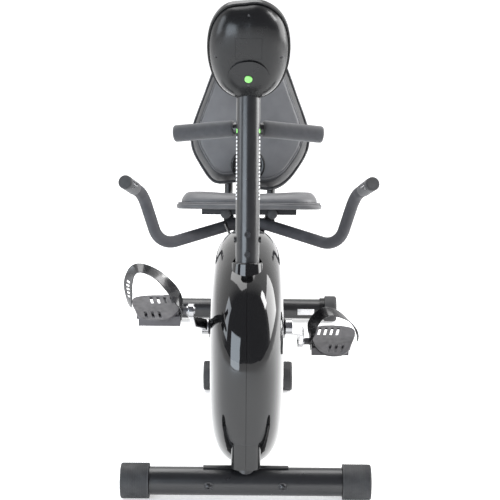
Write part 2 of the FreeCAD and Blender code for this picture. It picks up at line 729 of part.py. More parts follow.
def prism(outline, near, far):
    """A block on the console with a smooth outline, from one depth to another."""
    face = Part.Face(closed_curve([on_console(a, b, near) for a, b in outline]))
    return face.extrude(CONSOLE_OUT * (far - near))


def console_bezel():
    """The rider's side of the console: a rim with a window and button holes."""
    outline = console_outline()
    body = dome(outline, on_console, BEZEL_THICKNESS, 0.86, 2.4, 4)
    inner = [(a * 0.965, b * 0.965) for a, b in outline]
    hollow_depth = BEZEL_THICKNESS - CONSOLE_WALL
    hollow = dome(inner, lambda a, b, out: on_console(a, b, out - 0.01), hollow_depth, 0.86, 2.4, 4)
    rim = prism(outline, -RIM_DEPTH, 0).cut(prism(inner, -RIM_DEPTH - 1, 1))
    body = body.fuse(rim.cut(console_neck()))
    body = body.cut([hollow, rod(POST_RADIUS + 0.3, post_axis(760), post_axis(POST_TOP_Z + 0.5))])
    body = body.cut(console_block(SCREEN_HALF_X, SCREEN_HALF_UP, SCREEN_UP, -5, 30, 6))
    for x, up in BUTTON_PLACES:
        centre = on_console(x, up, 0)
        body = body.cut(rod(BUTTON_RADIUS + 0.4, centre, centre + CONSOLE_OUT * 30))
    return body


SCREEN_HALF_X, SCREEN_HALF_UP, SCREEN_UP = 56.0, 36.0, 26.0
BUTTON_RADIUS = 8.0
BUTTON_PLACES = ((-36, -46), (0, -50), (36, -46))


def console_block(half_x, half_up, up, near, far, radius):
    """A block on the console with rounded corners, from one depth to another."""
    corners = ((-1, -1), (1, -1), (1, 1), (-1, 1))
    points = [on_console(half_x * a, up + half_up * b, near) for a, b in corners]
    block = Part.Face(Part.makePolygon(points + points[:1])).extrude(CONSOLE_OUT * (far - near))
    edges = [e for e in block.Edges if abs(e.tangentAt(e.FirstParameter).dot(CONSOLE_OUT)) > 0.99]
    return block.makeFillet(radius, edges)


def back_surface(solid, across, up):
    """The outermost point of the console's back at a place across and up its face."""
    line = Part.LineSegment(on_console(across, up, -200), on_console(across, up, 0)).toShape()
    return min((v.Point for v in line.common(solid).Vertexes), key=lambda point: point.dot(CONSOLE_OUT))


def console():
    back = console_back()
    outside = console_back_dome(0).fuse(console_neck())
    door = back.common(battery_prism(-0.3))
    back = back.cut(battery_prism(0.0))
    screws = []
    for across, up in CONSOLE_SCREWS:
        start = back_surface(outside, across, up) + CONSOLE_OUT * 1.2
        screws.append(rod(2.8, start, start + CONSOLE_OUT * 8))
        back = back.cut(rod(2.8, start - CONSOLE_OUT * 20, start + CONSOLE_OUT * 8))
    cap_start = back_surface(outside, 0, CAP_UP) + CONSOLE_OUT * 1.0
    cap = rod(CAP_RADIUS, cap_start, cap_start - CONSOLE_OUT * 3.5)
    rim_depth = cap_start.dot(CONSOLE_OUT) - 2
    rims = [e for e in cap.Edges if e.Closed and e.CenterOfMass.dot(CONSOLE_OUT) < rim_depth]
    cap = cap.makeFillet(1.2, rims)
    back = back.cut(rod(CAP_RADIUS, cap_start, cap_start - CONSOLE_OUT * 20))
    save("console_back", sorted(back.Solids, key=lambda s: -s.Volume)[0])
    save("battery_door", sorted(door.Solids, key=lambda s: -s.Volume)[0])
    save("console_cap", cap)
    save("console_screws", *screws)
    save("console_bezel", console_bezel())
    save("console_screen", console_block(SCREEN_HALF_X - 0.3, SCREEN_HALF_UP - 0.3, SCREEN_UP, 6, 13, 5.7))
    for i, (x, up) in enumerate(BUTTON_PLACES):
        centre = on_console(x, up, 0)
        button = rod(BUTTON_RADIUS, centre + CONSOLE_OUT * 7, centre + CONSOLE_OUT * 17.5)
        rims = [e for e in button.Edges if e.Length > 45 and (e.CenterOfMass - centre).Length > 15]
        button = button.makeFillet(1.5, rims)
        save(f"console_button_{i + 1}", button)


# Crank, pedals and drive


def crank_point(side, radial, x):
    """A point at a distance from the crank's axis along one arm."""
    flip = -1 if side > 0 else 1
    y = CRANK_Y - flip * radial * math.cos(CRANK_ANGLE)
    z = CRANK_Z + flip * radial * math.sin(CRANK_ANGLE)
    return V(x * side, y, z)


def crank_arm(side):
    """A forged arm that bends out near its root, with a boss at each end."""
    pedal_x = CRANK_PEDAL_X[side]
    path = bent_path(
        [crank_point(side, 4, CRANK_ROOT_X), crank_point(side, 28, CRANK_ROOT_X + 2),
         crank_point(side, 52, pedal_x - 1), crank_point(side, CRANK_LENGTH, pedal_x)], 18.0
    )
    first = path.Edges[0]
    along = first.tangentAt(first.FirstParameter)
    start = first.valueAt(first.FirstParameter)
    across = along.cross(V(1, 0, 0)).normalize()
    thick = across.cross(along).normalize()
    corners = [start + across * (11 * a) + thick * (5.5 * b) for a, b in ((-1, -1), (1, -1), (1, 1), (-1, 1))]
    bar = path.makePipeShell([rounded_loop(corners, CRANK_ARM_ROUND)], True, False)
    root = crank_point(side, 0, CRANK_ROOT_X)
    boss = rounded_rod(17.0, root - V(8 * side, 0, 0), root + V(9 * side, 0, 0), 2.0)
    eye_centre = crank_point(side, CRANK_LENGTH, pedal_x)
    eye = rounded_rod(14.5, eye_centre - V(6.5, 0, 0), eye_centre + V(6.5, 0, 0), 2.0)
    arm = bar.fuse([boss, eye])
    arm = arm.cut(rod(8.5, V(0, CRANK_Y, CRANK_Z), V(150 * side, CRANK_Y, CRANK_Z)))
    return arm.cut(rod(7.0, eye_centre - V(20, 0, 0), eye_centre + V(20, 0, 0)))


def crank():
    save("crank_axle", rod(8.5, V(-97, CRANK_Y, CRANK_Z), V(97, CRANK_Y, CRANK_Z)))

    def ring(outer, inner, x0, x1):
        return pipe(outer, inner, V(x0, CRANK_Y, CRANK_Z), V(x1, CRANK_Y, CRANK_Z))

    hub = ring(22.0, 8.5, PULLEY_X, PULLEY_X + PULLEY_WIDTH + 3)
    disc = ring(CRANK_PULLEY_RADIUS, 20.0, PULLEY_X + 5, PULLEY_X + 9)
    rim = ring(CRANK_PULLEY_RADIUS, CRANK_PULLEY_RADIUS - 6, PULLEY_X, PULLEY_X + PULLEY_WIDTH)
    pulley = hub.fuse([disc, rim])
    for i in range(6):
        turn = math.pi / 3 * i
        centre = V(0, CRANK_Y + 72 * math.cos(turn), CRANK_Z + 72 * math.sin(turn))
        pulley = pulley.cut(rod(22.0, centre, centre + V(100, 0, 0)))
    save("crank_pulley", pulley)
    save("crank_arm_left", crank_arm(1))
    save("crank_arm_right", crank_arm(-1))
    discs = [pipe(25.0, 8.5, V(79.4 * s, CRANK_Y, CRANK_Z), V(81.6 * s, CRANK_Y, CRANK_Z)) for s in (-1, 1)]
    save("crank_discs", *discs)
    spindles = []
    for side in (-1, 1):
        eye = crank_point(side, CRANK_LENGTH, CRANK_PEDAL_X[side])
        shaft = rod(7.0, eye - V(8 * side, 0, 0), eye + V(9 * side, 0, 0))
        collar = rod(10.0, eye + V(6.6 * side, 0, 0), eye + V(9 * side, 0, 0))
        pin_end = V((pedal_reach(side) + PEDAL_HALF - 14) * side, 0, 0)
        pin = rod(PIN_RADIUS, eye + V(9 * side, 0, 0), eye + pin_end)
        spindles.append(shaft.fuse([collar, pin]))
    save("pedal_spindles", *spindles)


PEDAL_HALF = PEDAL_WIDTH / 2
PLATE_LOW, PLATE_HIGH = 5.5, 10.5
PIN_RADIUS = 5.5
PEDAL_SLEEVE_GAP = 9.3
STRAP_BAND = 24.0
STRAP_THICKNESS = 2.4


def pedal_reach(side):
    """How far the pedal's middle is from the crank arm's middle."""
    return PEDAL_MIDDLE_X[side] - CRANK_PEDAL_X[side]


def pedal_plate():
    """The foot plate, about the spindle's middle, with slanted slots. +X is outwards, +Y the heel's side."""
    outline = [
        (50, 28), (51, 14), (44, -9), (35, -36), (24, -50), (8, -56), (-9, -56), (-26, -49), (-40, -30),
        (-47, -5), (-46, 19), (-37, 37), (-16, 43), (6, 43), (26, 41), (42, 36),
    ]
    plate = Part.Face(closed_curve([V(x, y, PLATE_LOW) for x, y in outline]))
    plate = plate.extrude(V(0, 0, PLATE_HIGH - PLATE_LOW))
    lean = 2.8
    for row_y, first_x, count in ((22.5, -31, 4), (-34, -9, 3)):
        for i in range(count):
            x = first_x + 14 * i
            low, high = row_y - 12, row_y + 12
            slot = [V(x + a + b * lean, low if b < 0 else high, 0) for a, b in ((-3, -1), (3, -1), (3, 1), (-3, 1))]
            plate = plate.cut(Part.Face(Part.makePolygon(slot + slot[:1])).extrude(V(0, 0, 30)))
    return plate


def pedal_body(side):
    """The foot plate on its barrel, with the weight that keeps the plate upwards."""
    half = PEDAL_HALF
    sleeve_start = -pedal_reach(side) + PEDAL_SLEEVE_GAP
    barrel = rod(8.0, V(sleeve_start, 0, 0), V(half - 8, 0, 0))
    web = box(-half + 6, half - 12, -14, 14, 2, PLATE_LOW + 1)
    weight = rounded_box(-half - 1, half - 12, -20, 8, -27, -2, 3, V(1, 0, 0))
    ears = [box(x - 2, x + 2, -15, 15, -12, PLATE_LOW + 1) for x in (-half + 4, half - 10)]
    body = barrel.fuse([web, weight, *ears, pedal_plate()])
    return body.cut(rod(PIN_RADIUS + 0.06, V(-half - 30, 0, 0), V(half - 12, 0, 0)))


# Each strap's line over the foot plate, as (across, up, twist in degrees), from the inner end to the outer
STRAP_LEFT = (
    (-51, -16, 0), (-53, 8, 5), (-50, 34, 45), (-46, 57, 55), (-30, 83, 30), (-6, 90, 5), (26, 72, -20),
    (46, 46, -25), (54, 24, -15), (55, 8, 0),
)
STRAP_RIGHT = (
    (-51, -16, 0), (-52, 8, 5), (-42, 32, 40), (-29, 55, 40), (-3, 84, 20), (27, 99, 15), (46, 92, 30),
    (56, 64, 50), (56, 40, 50), (55, 10, 25),
)
STRAP_STEPS = 18


def strap_sections(line):
    """The strap's cross sections, as (middle, across the band, out of the band)."""
    points = [V(x, 0, z) for x, z, twist in line]
    places = [0.0]
    for here, there in zip(points, points[1:]):
        places.append(places[-1] + (there - here).Length)
    curve = Part.BSplineCurve()
    curve.interpolate(Points=points, Parameters=places)
    sections = []
    for i in range(STRAP_STEPS + 1):
        place = places[-1] * i / STRAP_STEPS
        after = next((k for k, p in enumerate(places) if p > place), len(places) - 1)
        share = (place - places[after - 1]) / (places[after] - places[after - 1])
        twist = math.radians(line[after - 1][2] * (1 - share) + line[after][2] * share)
        along = curve.tangent(place)[0]
        outwards = along.cross(V(0, 1, 0)).normalize()
        across = V(0, 1, 0) * math.cos(twist) + outwards * math.sin(twist)
        sections.append((curve.value(place), across, along.cross(across).normalize()))
    return sections


def pedal_strap(line):
    """A strap arched over the foot plate from the inner side to the outer, held by its inner end."""
    sections = strap_sections(line)
    wires = []
    for middle, across, outwards in sections:
        half, thick = across * (STRAP_BAND / 2), outwards * STRAP_THICKNESS
        corners = [middle - half, middle + half, middle + half + thick, middle - half + thick]
        wires.append(Part.makePolygon(corners + corners[:1]))
    strap = Part.makeLoft(wires, True, False)
    for middle, across, outwards in sections[-6:-1]:
        strap = strap.cut(rod(3.2, middle - outwards * 5, middle + outwards * 8))
    return strap.cut(rod(PIN_RADIUS + 2.5, V(-PEDAL_HALF - 20, 0, 0), V(-PEDAL_HALF + 10, 0, 0)))


def place_pedal(shape, side, tilt):
    """Moves a pedal part from its own frame, built for the left side, to its spindle."""
    out = shape.copy()
    if side < 0:
        out = out.mirror(V(0, 0, 0), V(1, 0, 0))
    out.rotate(V(0, 0, 0), V(1, 0, 0), math.degrees(tilt))
    centre = crank_point(side, CRANK_LENGTH, PEDAL_MIDDLE_X[side])
    out.translate(centre)
    return out


def pedals():
    for name, side, tilt, line in (
        ("left", 1, PEDAL_TILT_LEFT, STRAP_LEFT),
        ("right", -1, PEDAL_TILT_RIGHT, STRAP_RIGHT),
    ):
        placed = place_pedal(pedal_body(side), side, tilt)
        save(f"pedal_{name}", placed)
        save(f"pedal_strap_{name}", place_pedal(pedal_strap(line), side, tilt).cut(placed))


def flywheel():
    """The flywheel with its hub and its belt pulley, and the fixed axle that it turns on."""
    axis = V(0, FLYWHEEL_Y, FLYWHEEL_Z)
    bore = FLYWHEEL_AXLE_RADIUS + RUNNING_GAP

    def ring(outer, inner, x0, x1):
        return pipe(outer, inner, axis + V(x0, 0, 0), axis + V(x1, 0, 0))

    rim = ring(FLYWHEEL_RADIUS, FLYWHEEL_RADIUS - 30, -22, 8)
    web = ring(FLYWHEEL_RADIUS - 20, bore, -10, -4)
    hub = ring(12.0, bore, -24, 54)
    pulley = ring(FLYWHEEL_PULLEY_RADIUS, bore, PULLEY_X, PULLEY_X + PULLEY_WIDTH)
    save("flywheel", rim.fuse([web, hub, pulley]))
    save("flywheel_axle", rod(FLYWHEEL_AXLE_RADIUS, axis - V(46, 0, 0), axis + V(64, 0, 0)))


def drive_belt():
    """A flat belt round both pulleys."""
    big, small = V(0, CRANK_Y, CRANK_Z), V(0, FLYWHEEL_Y, FLYWHEEL_Z)
    line = small - big
    distance = line.Length
    base = math.atan2(line.z, line.y)

    def loop(extra):
        r1, r2 = CRANK_PULLEY_RADIUS + extra, FLYWHEEL_PULLEY_RADIUS + extra
        tilt = math.acos((r1 - r2) / distance)

        def at(centre, radius, angle):
            return V(0, centre.y + radius * math.cos(angle), centre.z + radius * math.sin(angle))

        a, b = base + tilt, base - tilt
        edges = [
            Part.LineSegment(at(big, r1, a), at(small, r2, a)).toShape(),
            Part.Arc(at(small, r2, a), at(small, r2, base), at(small, r2, b)).toShape(),
            Part.LineSegment(at(small, r2, b), at(big, r1, b)).toShape(),
            Part.Arc(at(big, r1, b), at(big, r1, base + math.pi), at(big, r1, a)).toShape(),
        ]
        return Part.Face(Part.Wire(edges))

    clearance = 0.3
    ring = loop(clearance + BELT_THICKNESS).cut(loop(clearance))
    belt = ring.extrude(V(BELT_WIDTH, 0, 0))
    belt.translate(V(PULLEY_X + (PULLEY_WIDTH - BELT_WIDTH) / 2, 0, 0))
    return belt


def brake_arm():
    """The magnet carrier, an arc over the flywheel's rim that swings to set the load."""
    axis = V(-30, FLYWHEEL_Y, FLYWHEEL_Z)
    inner, outer = FLYWHEEL_RADIUS + 3.0, FLYWHEEL_RADIUS + 8.0
    arc = Part.makeCylinder(outer, 34, axis, V(1, 0, 0)).cut(Part.makeCylinder(inner, 34, axis, V(1, 0, 0)))
    wedge_edges = [V(-40, FLYWHEEL_Y, FLYWHEEL_Z)]
    for degrees in (60, 88, 116):
        a = math.radians(degrees)
        wedge_edges.append(V(-40, FLYWHEEL_Y + 220 * math.cos(a), FLYWHEEL_Z + 220 * math.sin(a)))
    wedge = Part.Face(Part.makePolygon(wedge_edges + wedge_edges[:1])).extrude(V(60, 0, 0))
    arc = arc.common(wedge)
    pivot = V(-30, *BRAKE_PIVOT)
    ear = rod(9.0, pivot, pivot + V(34, 0, 0))
    return arc.fuse(ear).cut(rod(BRAKE_PIN_RADIUS + RUNNING_GAP, pivot - V(5, 0, 0), pivot + V(40, 0, 0)))


def tension_cable():
    """The brake's cable: down inside the post and the column, then out and over to the brake arm."""
    arm = V(-10, BRAKE_PIVOT[0] - 26, BRAKE_PIVOT[1] + 26)
    points = [post_axis(672.0), post_axis(600.0) + POST_REAR * 3, post_axis(450.0), *CABLE_EXIT, arm]
    return swept_rod(bent_path(points, [200.0, 120.0, 15.0, 60.0]), 2.5)


def drive():
    crank()
    pedals()
    flywheel()
    save("drive_belt", drive_belt())
    save("brake_arm", brake_arm())
    save("tension_cable", tension_cable())


# Seat


def on_seat(x, along, up):
    """A point from its place across, back along and up from the seat base's front lower edge."""
    back = V(0, math.cos(SEAT_TILT), -math.sin(SEAT_TILT))
    rise = V(0, math.sin(SEAT_TILT), math.cos(SEAT_TILT))
    return SEAT_FRONT + V(x, 0, 0) + back * along + rise * up


def seat_outline(grow, up):
    """The seat's plan as a closed wire: straight sides with round corners."""
    front, rear = SEAT_FRONT_HALF + grow, SEAT_REAR_HALF + grow
    mid = SEAT_LENGTH / 2
    right = [
        (front - 70, -grow), (front - 18, 22 - grow), (front, 85), (front - 5, mid),
        (rear, SEAT_LENGTH - 70), (rear - 22, SEAT_LENGTH - 16 + grow), (rear - 75, SEAT_LENGTH + grow),
    ]
    points = [on_seat(x, y, up) for x, y in right] + [on_seat(-x, y, up) for x, y in reversed(right)]
    return closed_curve(points)


def seat_pads():
    base = Part.Face(seat_outline(0, 0)).extrude(on_seat(0, 0, SEAT_BASE_THICKNESS) - on_seat(0, 0, 0))
    save("seat_base", base.makeFillet(SEAT_BASE_ROUND, [e for e in base.Edges if e.Length > 2 * SEAT_LENGTH]))
    top = SEAT_BASE_THICKNESS + SEAT_CUSHION_THICKNESS
    levels = [(-7, SEAT_BASE_THICKNESS + 0.2), (-9, SEAT_BASE_THICKNESS + 14), (-24, top)]
    save("seat_cushion", Part.makeLoft([seat_outline(g, u) for g, u in levels], True, False))


BACK_OUTLINE = (
    (105, 8), (139, 50), (165, 98), (170, 132), (158, 190), (134, 258), (110, 320), (83, 382), (55, 436),
    (28, 474),
)


BACK_RISE = V(0, math.sin(BACK_RECLINE), math.cos(BACK_RECLINE))
BACK_FORWARD = V(0, -math.cos(BACK_RECLINE), math.sin(BACK_RECLINE))


def on_back(x, up, out):
    """A point from its place across, up and forward from the backrest's lower edge."""
    return BACK_BOTTOM + V(x, 0, 0) + BACK_RISE * up + BACK_FORWARD * out


def back_wire(scale, out):
    centre = 200.0
    points = [(x * scale, centre + (u - centre) * scale) for x, u in BACK_OUTLINE]
    top, bottom = (0, centre + (492 - centre) * scale), (0, centre - centre * scale)
    ring = [bottom] + points + [top] + [(-x, u) for x, u in reversed(points)]
    return closed_curve([on_back(x, u, out) for x, u in ring])


def back_pads():
    shell = Part.makeLoft([back_wire(0.90, -BACK_SHELL_THICKNESS - 12), back_wire(1.0, 0)], True, False)
    rear_edges = [e for e in shell.Edges if e.Closed and (e.CenterOfMass - BACK_BOTTOM).dot(BACK_FORWARD) < -10]
    save("backrest_shell", shell.makeFillet(6.0, rear_edges))
    front = BACK_THICKNESS
    levels = [(0.985, 0.3), (0.975, front * 0.55), (0.90, front)]
    save("backrest_cushion", Part.makeLoft([back_wire(s, o) for s, o in levels], True, False))


def seat_tube_path(side):
    """One side tube of the seat frame: under the seat, then up behind the backrest."""
    x = SEAT_TUBE_X * side
    drop = -SEAT_TUBE_RADIUS - 0.4
    low_front = on_seat(x, 22, drop)
    corner = on_seat(x, 425, drop)
    back_out = -BACK_SHELL_THICKNESS - 12 - SEAT_TUBE_RADIUS - 0.4
    top = on_back(x, 300, back_out)
    bottom = on_back(x, 0, back_out)
    rise = (top - bottom).normalize()
    along = (corner - low_front).normalize()
    gap = bottom - low_front
    cross = along.y * rise.z - along.z * rise.y
    reach = (gap.y * rise.z - gap.z * rise.y) / cross
    return bent_path([low_front, low_front + along * reach, top], 55.0)


def seat_frame():
    """Two capped side tubes, two cross bars under the seat and one plate behind the backrest."""
    tubes = []
    for side in (-1, 1):
        path = seat_tube_path(side)
        tube = swept_tube(path, SEAT_TUBE_RADIUS, SEAT_TUBE_RADIUS - TUBE_WALL)
        first, last = path.Edges[0], path.Edges[-1]
        ends = first.valueAt(first.FirstParameter), last.valueAt(last.LastParameter)
        inward = on_seat(0, 1, 0) - on_seat(0, 0, 0), on_back(0, 0, 0) - on_back(0, 1, 0)
        plugs = [rod(SEAT_TUBE_RADIUS, end, end + step * 4) for end, step in zip(ends, inward)]
        tubes.append(tube.fuse(plugs))
    drop = -0.4
    half = 124.0

    def bar(y0, y1, thickness):
        corners = [on_seat(a, b, drop) for a, b in ((-half, y0), (half, y0), (half, y1), (-half, y1))]
        down = on_seat(0, 0, -thickness) - on_seat(0, 0, 0)
        return Part.Face(Part.makePolygon(corners + corners[:1])).extrude(down)

    bars = [bar(36, 76, 14.0), bar(250, 290, 14.0)]
    behind = -BACK_SHELL_THICKNESS - 12.4
    plate = [on_back(a, b, behind) for a, b in ((-88, 190), (88, 190), (88, 230), (-88, 230))]
    back_bar = Part.Face(Part.makePolygon(plate + plate[:1])).extrude(on_back(0, 0, -6) - on_back(0, 0, 0))
    return tubes[0].fuse([tubes[1], *bars, back_bar])


HANDLE_POINTS = (
    V(0, FRONT_Y + 900.0, 395.0), V(32, FRONT_Y + 900.0, 394.0), V(231, FRONT_Y + 750.0, 365.0),
    V(270, FRONT_Y + 720.0, 508.0), V(302, FRONT_Y + 598.0, 562.0),
)
HANDLE_BENDS = (70.0, 62.0, 70.0)


def handle_points(side):
    return [V(p.x * side, p.y, p.z) for p in HANDLE_POINTS]


def seat_handle_tube():
    """The tube that passes under the seat and rises at each side of it."""
    right, left = list(reversed(handle_points(-1))), handle_points(1)
    path = bent_path(right[:-1] + left[1:], list(reversed(HANDLE_BENDS)) + list(HANDLE_BENDS))
    return swept_tube(path, HANDLE_RADIUS, HANDLE_RADIUS - TUBE_WALL)


def seat_handles():
    """The handle tube with its foam grips, pulse plates and end caps."""
    tube = seat_handle_tube()
    save("handle_tube", tube)
    grips, plates, caps = [], [], []
    for side in (-1, 1):
        end = handle_points(side)[-1]
        along = (end - handle_points(side)[-2]).normalize()
        start = end - along * 72
        sleeve = rod(GRIP_RADIUS, start, end).cut(tube)
        ring = pipe(GRIP_RADIUS + 0.6, GRIP_RADIUS, start + along * 8, start + along * 62)
        upper = ring.common(box(-500, 500, -900, 900, end.z - 16, 900))
        plates += sorted(upper.Solids, key=lambda s: -s.Volume)[:1]
        grips.append(sorted(sleeve.Solids, key=lambda s: -s.Volume)[0])
        cap = rod(GRIP_RADIUS, end, end + along * 6)
        cap = cap.makeFillet(3.0, [e for e in cap.Edges if e.Length > 100 and e.CenterOfMass.y < end.y - 4])
        caps.append(cap)
    save("pulse_grips", *grips)
    save("pulse_plates", *plates)
    save("grip_caps", *caps)


def seat_carriage():
    """The slider that wraps the rail, with two risers up to the seat frame and a saddle for the handles."""
    gap = 0.6
    front, rear, bottom = CARRIAGE_FRONT_Y, CARRIAGE_REAR_Y, RAIL_BOTTOM + 2
    body = rounded_box(-CARRIAGE_HALF, CARRIAGE_HALF, front, rear, bottom, CARRIAGE_TOP, 5, V(0, 1, 0))
    body = body.cut(box(-RAIL_HALF - gap, RAIL_HALF + gap, -900, 900, 200, RAIL_TOP + gap))
    middle = handle_points(1)[0]
    block = box(-26, 26, middle.y - 13, middle.y + 13, CARRIAGE_TOP - 2, middle.z - 4)
    reach = SEAT_TUBE_X + 8
    risers = []
    for y0 in (290.0, CARRIAGE_REAR_Y - 26):
        riser = box(-reach, reach, y0, y0 + 22, CARRIAGE_TOP - 8, 440)
        window = rounded_box(-reach + 26, reach - 26, y0 - 1, y0 + 23, CARRIAGE_TOP + 10, 441, 8, V(0, 1, 0))
        risers.append(riser.cut(window))
    seat_area = ((-300, -50), (300, -50), (300, 700), (-300, 700))
    seat_under = [on_seat(a, b, -SEAT_TUBE_RADIUS - 4) for a, b in seat_area]
    above = Part.Face(Part.makePolygon(seat_under + seat_under[:1])).extrude(V(0, 0, 300))
    body = body.fuse([block, *risers]).cut(above)
    tubes = [swept_rod(seat_tube_path(side), SEAT_TUBE_RADIUS + SLIVER_GAP) for side in (-1, 1)]
    straight = rod(HANDLE_RADIUS, middle - V(32, 0, 1), middle + V(32, 0, -1))
    return body.cut([*tubes, straight, seat_handle_tube()])


LEVER_PIVOT = V(0, 262.0, 352.0)


def seat_lever():
    """The lever that frees the carriage to slide, on the rider's right."""
    x_hub, x_tip = -CARRIAGE_HALF - 6.5, -SEAT_TUBE_X - 2
    hub_centre = V(x_hub, LEVER_PIVOT.y, LEVER_PIVOT.z)
    tip = V(x_tip, FRONT_Y + 792.0, 420.0)
    hub = rod(9.0, hub_centre - V(5, 0, 0), hub_centre + V(5, 0, 0))
    arm = rod(3.5, hub_centre, tip)
    handle = rod(5.0, tip + (hub_centre - tip).normalize() * 38, tip)
    bore = rod(4.0 + RUNNING_GAP, hub_centre - V(20, 0, 0), hub_centre + V(20, 0, 0))
    return hub.fuse([arm, handle]).cut(bore)


def lever_pin():
    x = -CARRIAGE_HALF
    head = rod(7.0, V(x - 12.2, LEVER_PIVOT.y, LEVER_PIVOT.z), V(x - 15, LEVER_PIVOT.y, LEVER_PIVOT.z))
    return rod(4.0, V(x, LEVER_PIVOT.y, LEVER_PIVOT.z), V(x - 12.4, LEVER_PIVOT.y, LEVER_PIVOT.z)).fuse(head)


def seat():
    seat_pads()
    back_pads()
    save("seat_frame", seat_frame())
    seat_handles()
    save("seat_carriage", seat_carriage(), lever_pin())
    save("seat_lever", seat_lever())


def main():
    for old in os.listdir("parts"):
        if old.endswith(".step"):
            os.remove(os.path.join("parts", old))
    floor_bars()
    frame()
    shroud()
    save("console_post", console_post())
    front_handlebar()
    save("tension_knob", tension_knob())
    console()
    drive()
    seat()


main()
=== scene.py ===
"""The looks of a recumbent exercise bike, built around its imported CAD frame. Metres, +Z up.

X is across the bike, the rider faces -Y, and the camera stands in front of the bike and looks along +Y.
"""
import json
import math

import bmesh
import bpy
from mathutils import Matrix, Vector
from mathutils.bvhtree import BVHTree


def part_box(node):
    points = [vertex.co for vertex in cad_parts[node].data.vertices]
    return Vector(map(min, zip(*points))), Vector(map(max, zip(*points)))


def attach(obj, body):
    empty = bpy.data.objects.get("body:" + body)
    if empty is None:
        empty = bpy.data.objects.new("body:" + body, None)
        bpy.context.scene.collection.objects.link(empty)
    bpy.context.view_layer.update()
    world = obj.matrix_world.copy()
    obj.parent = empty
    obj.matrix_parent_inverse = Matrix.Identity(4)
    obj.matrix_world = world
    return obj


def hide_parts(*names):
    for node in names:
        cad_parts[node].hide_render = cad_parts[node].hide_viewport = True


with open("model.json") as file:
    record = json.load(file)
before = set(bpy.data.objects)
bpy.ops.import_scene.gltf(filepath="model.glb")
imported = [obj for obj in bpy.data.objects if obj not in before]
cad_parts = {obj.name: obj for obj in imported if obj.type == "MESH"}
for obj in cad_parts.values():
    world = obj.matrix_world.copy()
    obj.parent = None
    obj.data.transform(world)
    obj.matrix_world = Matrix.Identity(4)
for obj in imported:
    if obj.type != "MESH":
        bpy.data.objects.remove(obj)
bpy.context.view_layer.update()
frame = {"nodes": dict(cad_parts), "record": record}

NODES = frame["nodes"]

# Camera: the focal length is for a 36 mm sensor
CAMERA_PLACE = (0.01457, -3.34989, 1.21136)
CAMERA_PITCH = 0.242355
CAMERA_YAW = 0.003269
CAMERA_ROLL = 0.0067
CAMERA_LENS = 99.12
SENSOR_WIDTH = 36.0

# Console post, a straight tube that leans back from the front floor bar's axis
POST_LEAN = math.radians(10.5)
POST_RADIUS = 0.025
POST_FOOT = Vector((0, -0.640, 0.0375))
POST_UP = Vector((0, math.sin(POST_LEAN), math.cos(POST_LEAN)))
POST_REAR = Vector((0, math.cos(POST_LEAN), -math.sin(POST_LEAN)))

# Seat: its own frame starts at the base's front lower edge
SEAT_TILT = math.radians(11.5)
SEAT_FRONT = Vector((0, 0.135, 0.458))
SEAT_LENGTH = 0.360
SEAT_BACKWARD = Vector((0, math.cos(SEAT_TILT), -math.sin(SEAT_TILT)))
SEAT_RISE = Vector((0, math.sin(SEAT_TILT), math.cos(SEAT_TILT)))
SEAT_BASE_THICKNESS = 0.014

# Backrest: its own frame starts at the pad's lower edge
BACK_RECLINE = math.radians(12.0)
BACK_BOTTOM = Vector((0, 0.532, 0.443))
BACK_RISE = Vector((0, math.sin(BACK_RECLINE), math.cos(BACK_RECLINE)))
BACK_FORWARD = Vector((0, -math.cos(BACK_RECLINE), math.sin(BACK_RECLINE)))
BACK_MIDDLE_UP = 0.200

# Pedals, each in its own frame about the middle of its spindle
CRANK_PLACE = Vector((0, -0.490, 0.333))
CRANK_LENGTH = 0.170
CRANK_ANGLE = math.radians(28.0)
PEDAL_MIDDLE_X = {"left": 0.196, "right": 0.185}
PEDAL_TILT = {"left": math.radians(25.0), "right": math.radians(15.0)}
STRAP_WIDTH = 0.0255
STRAP_THICKNESS = 0.0022


# Materials


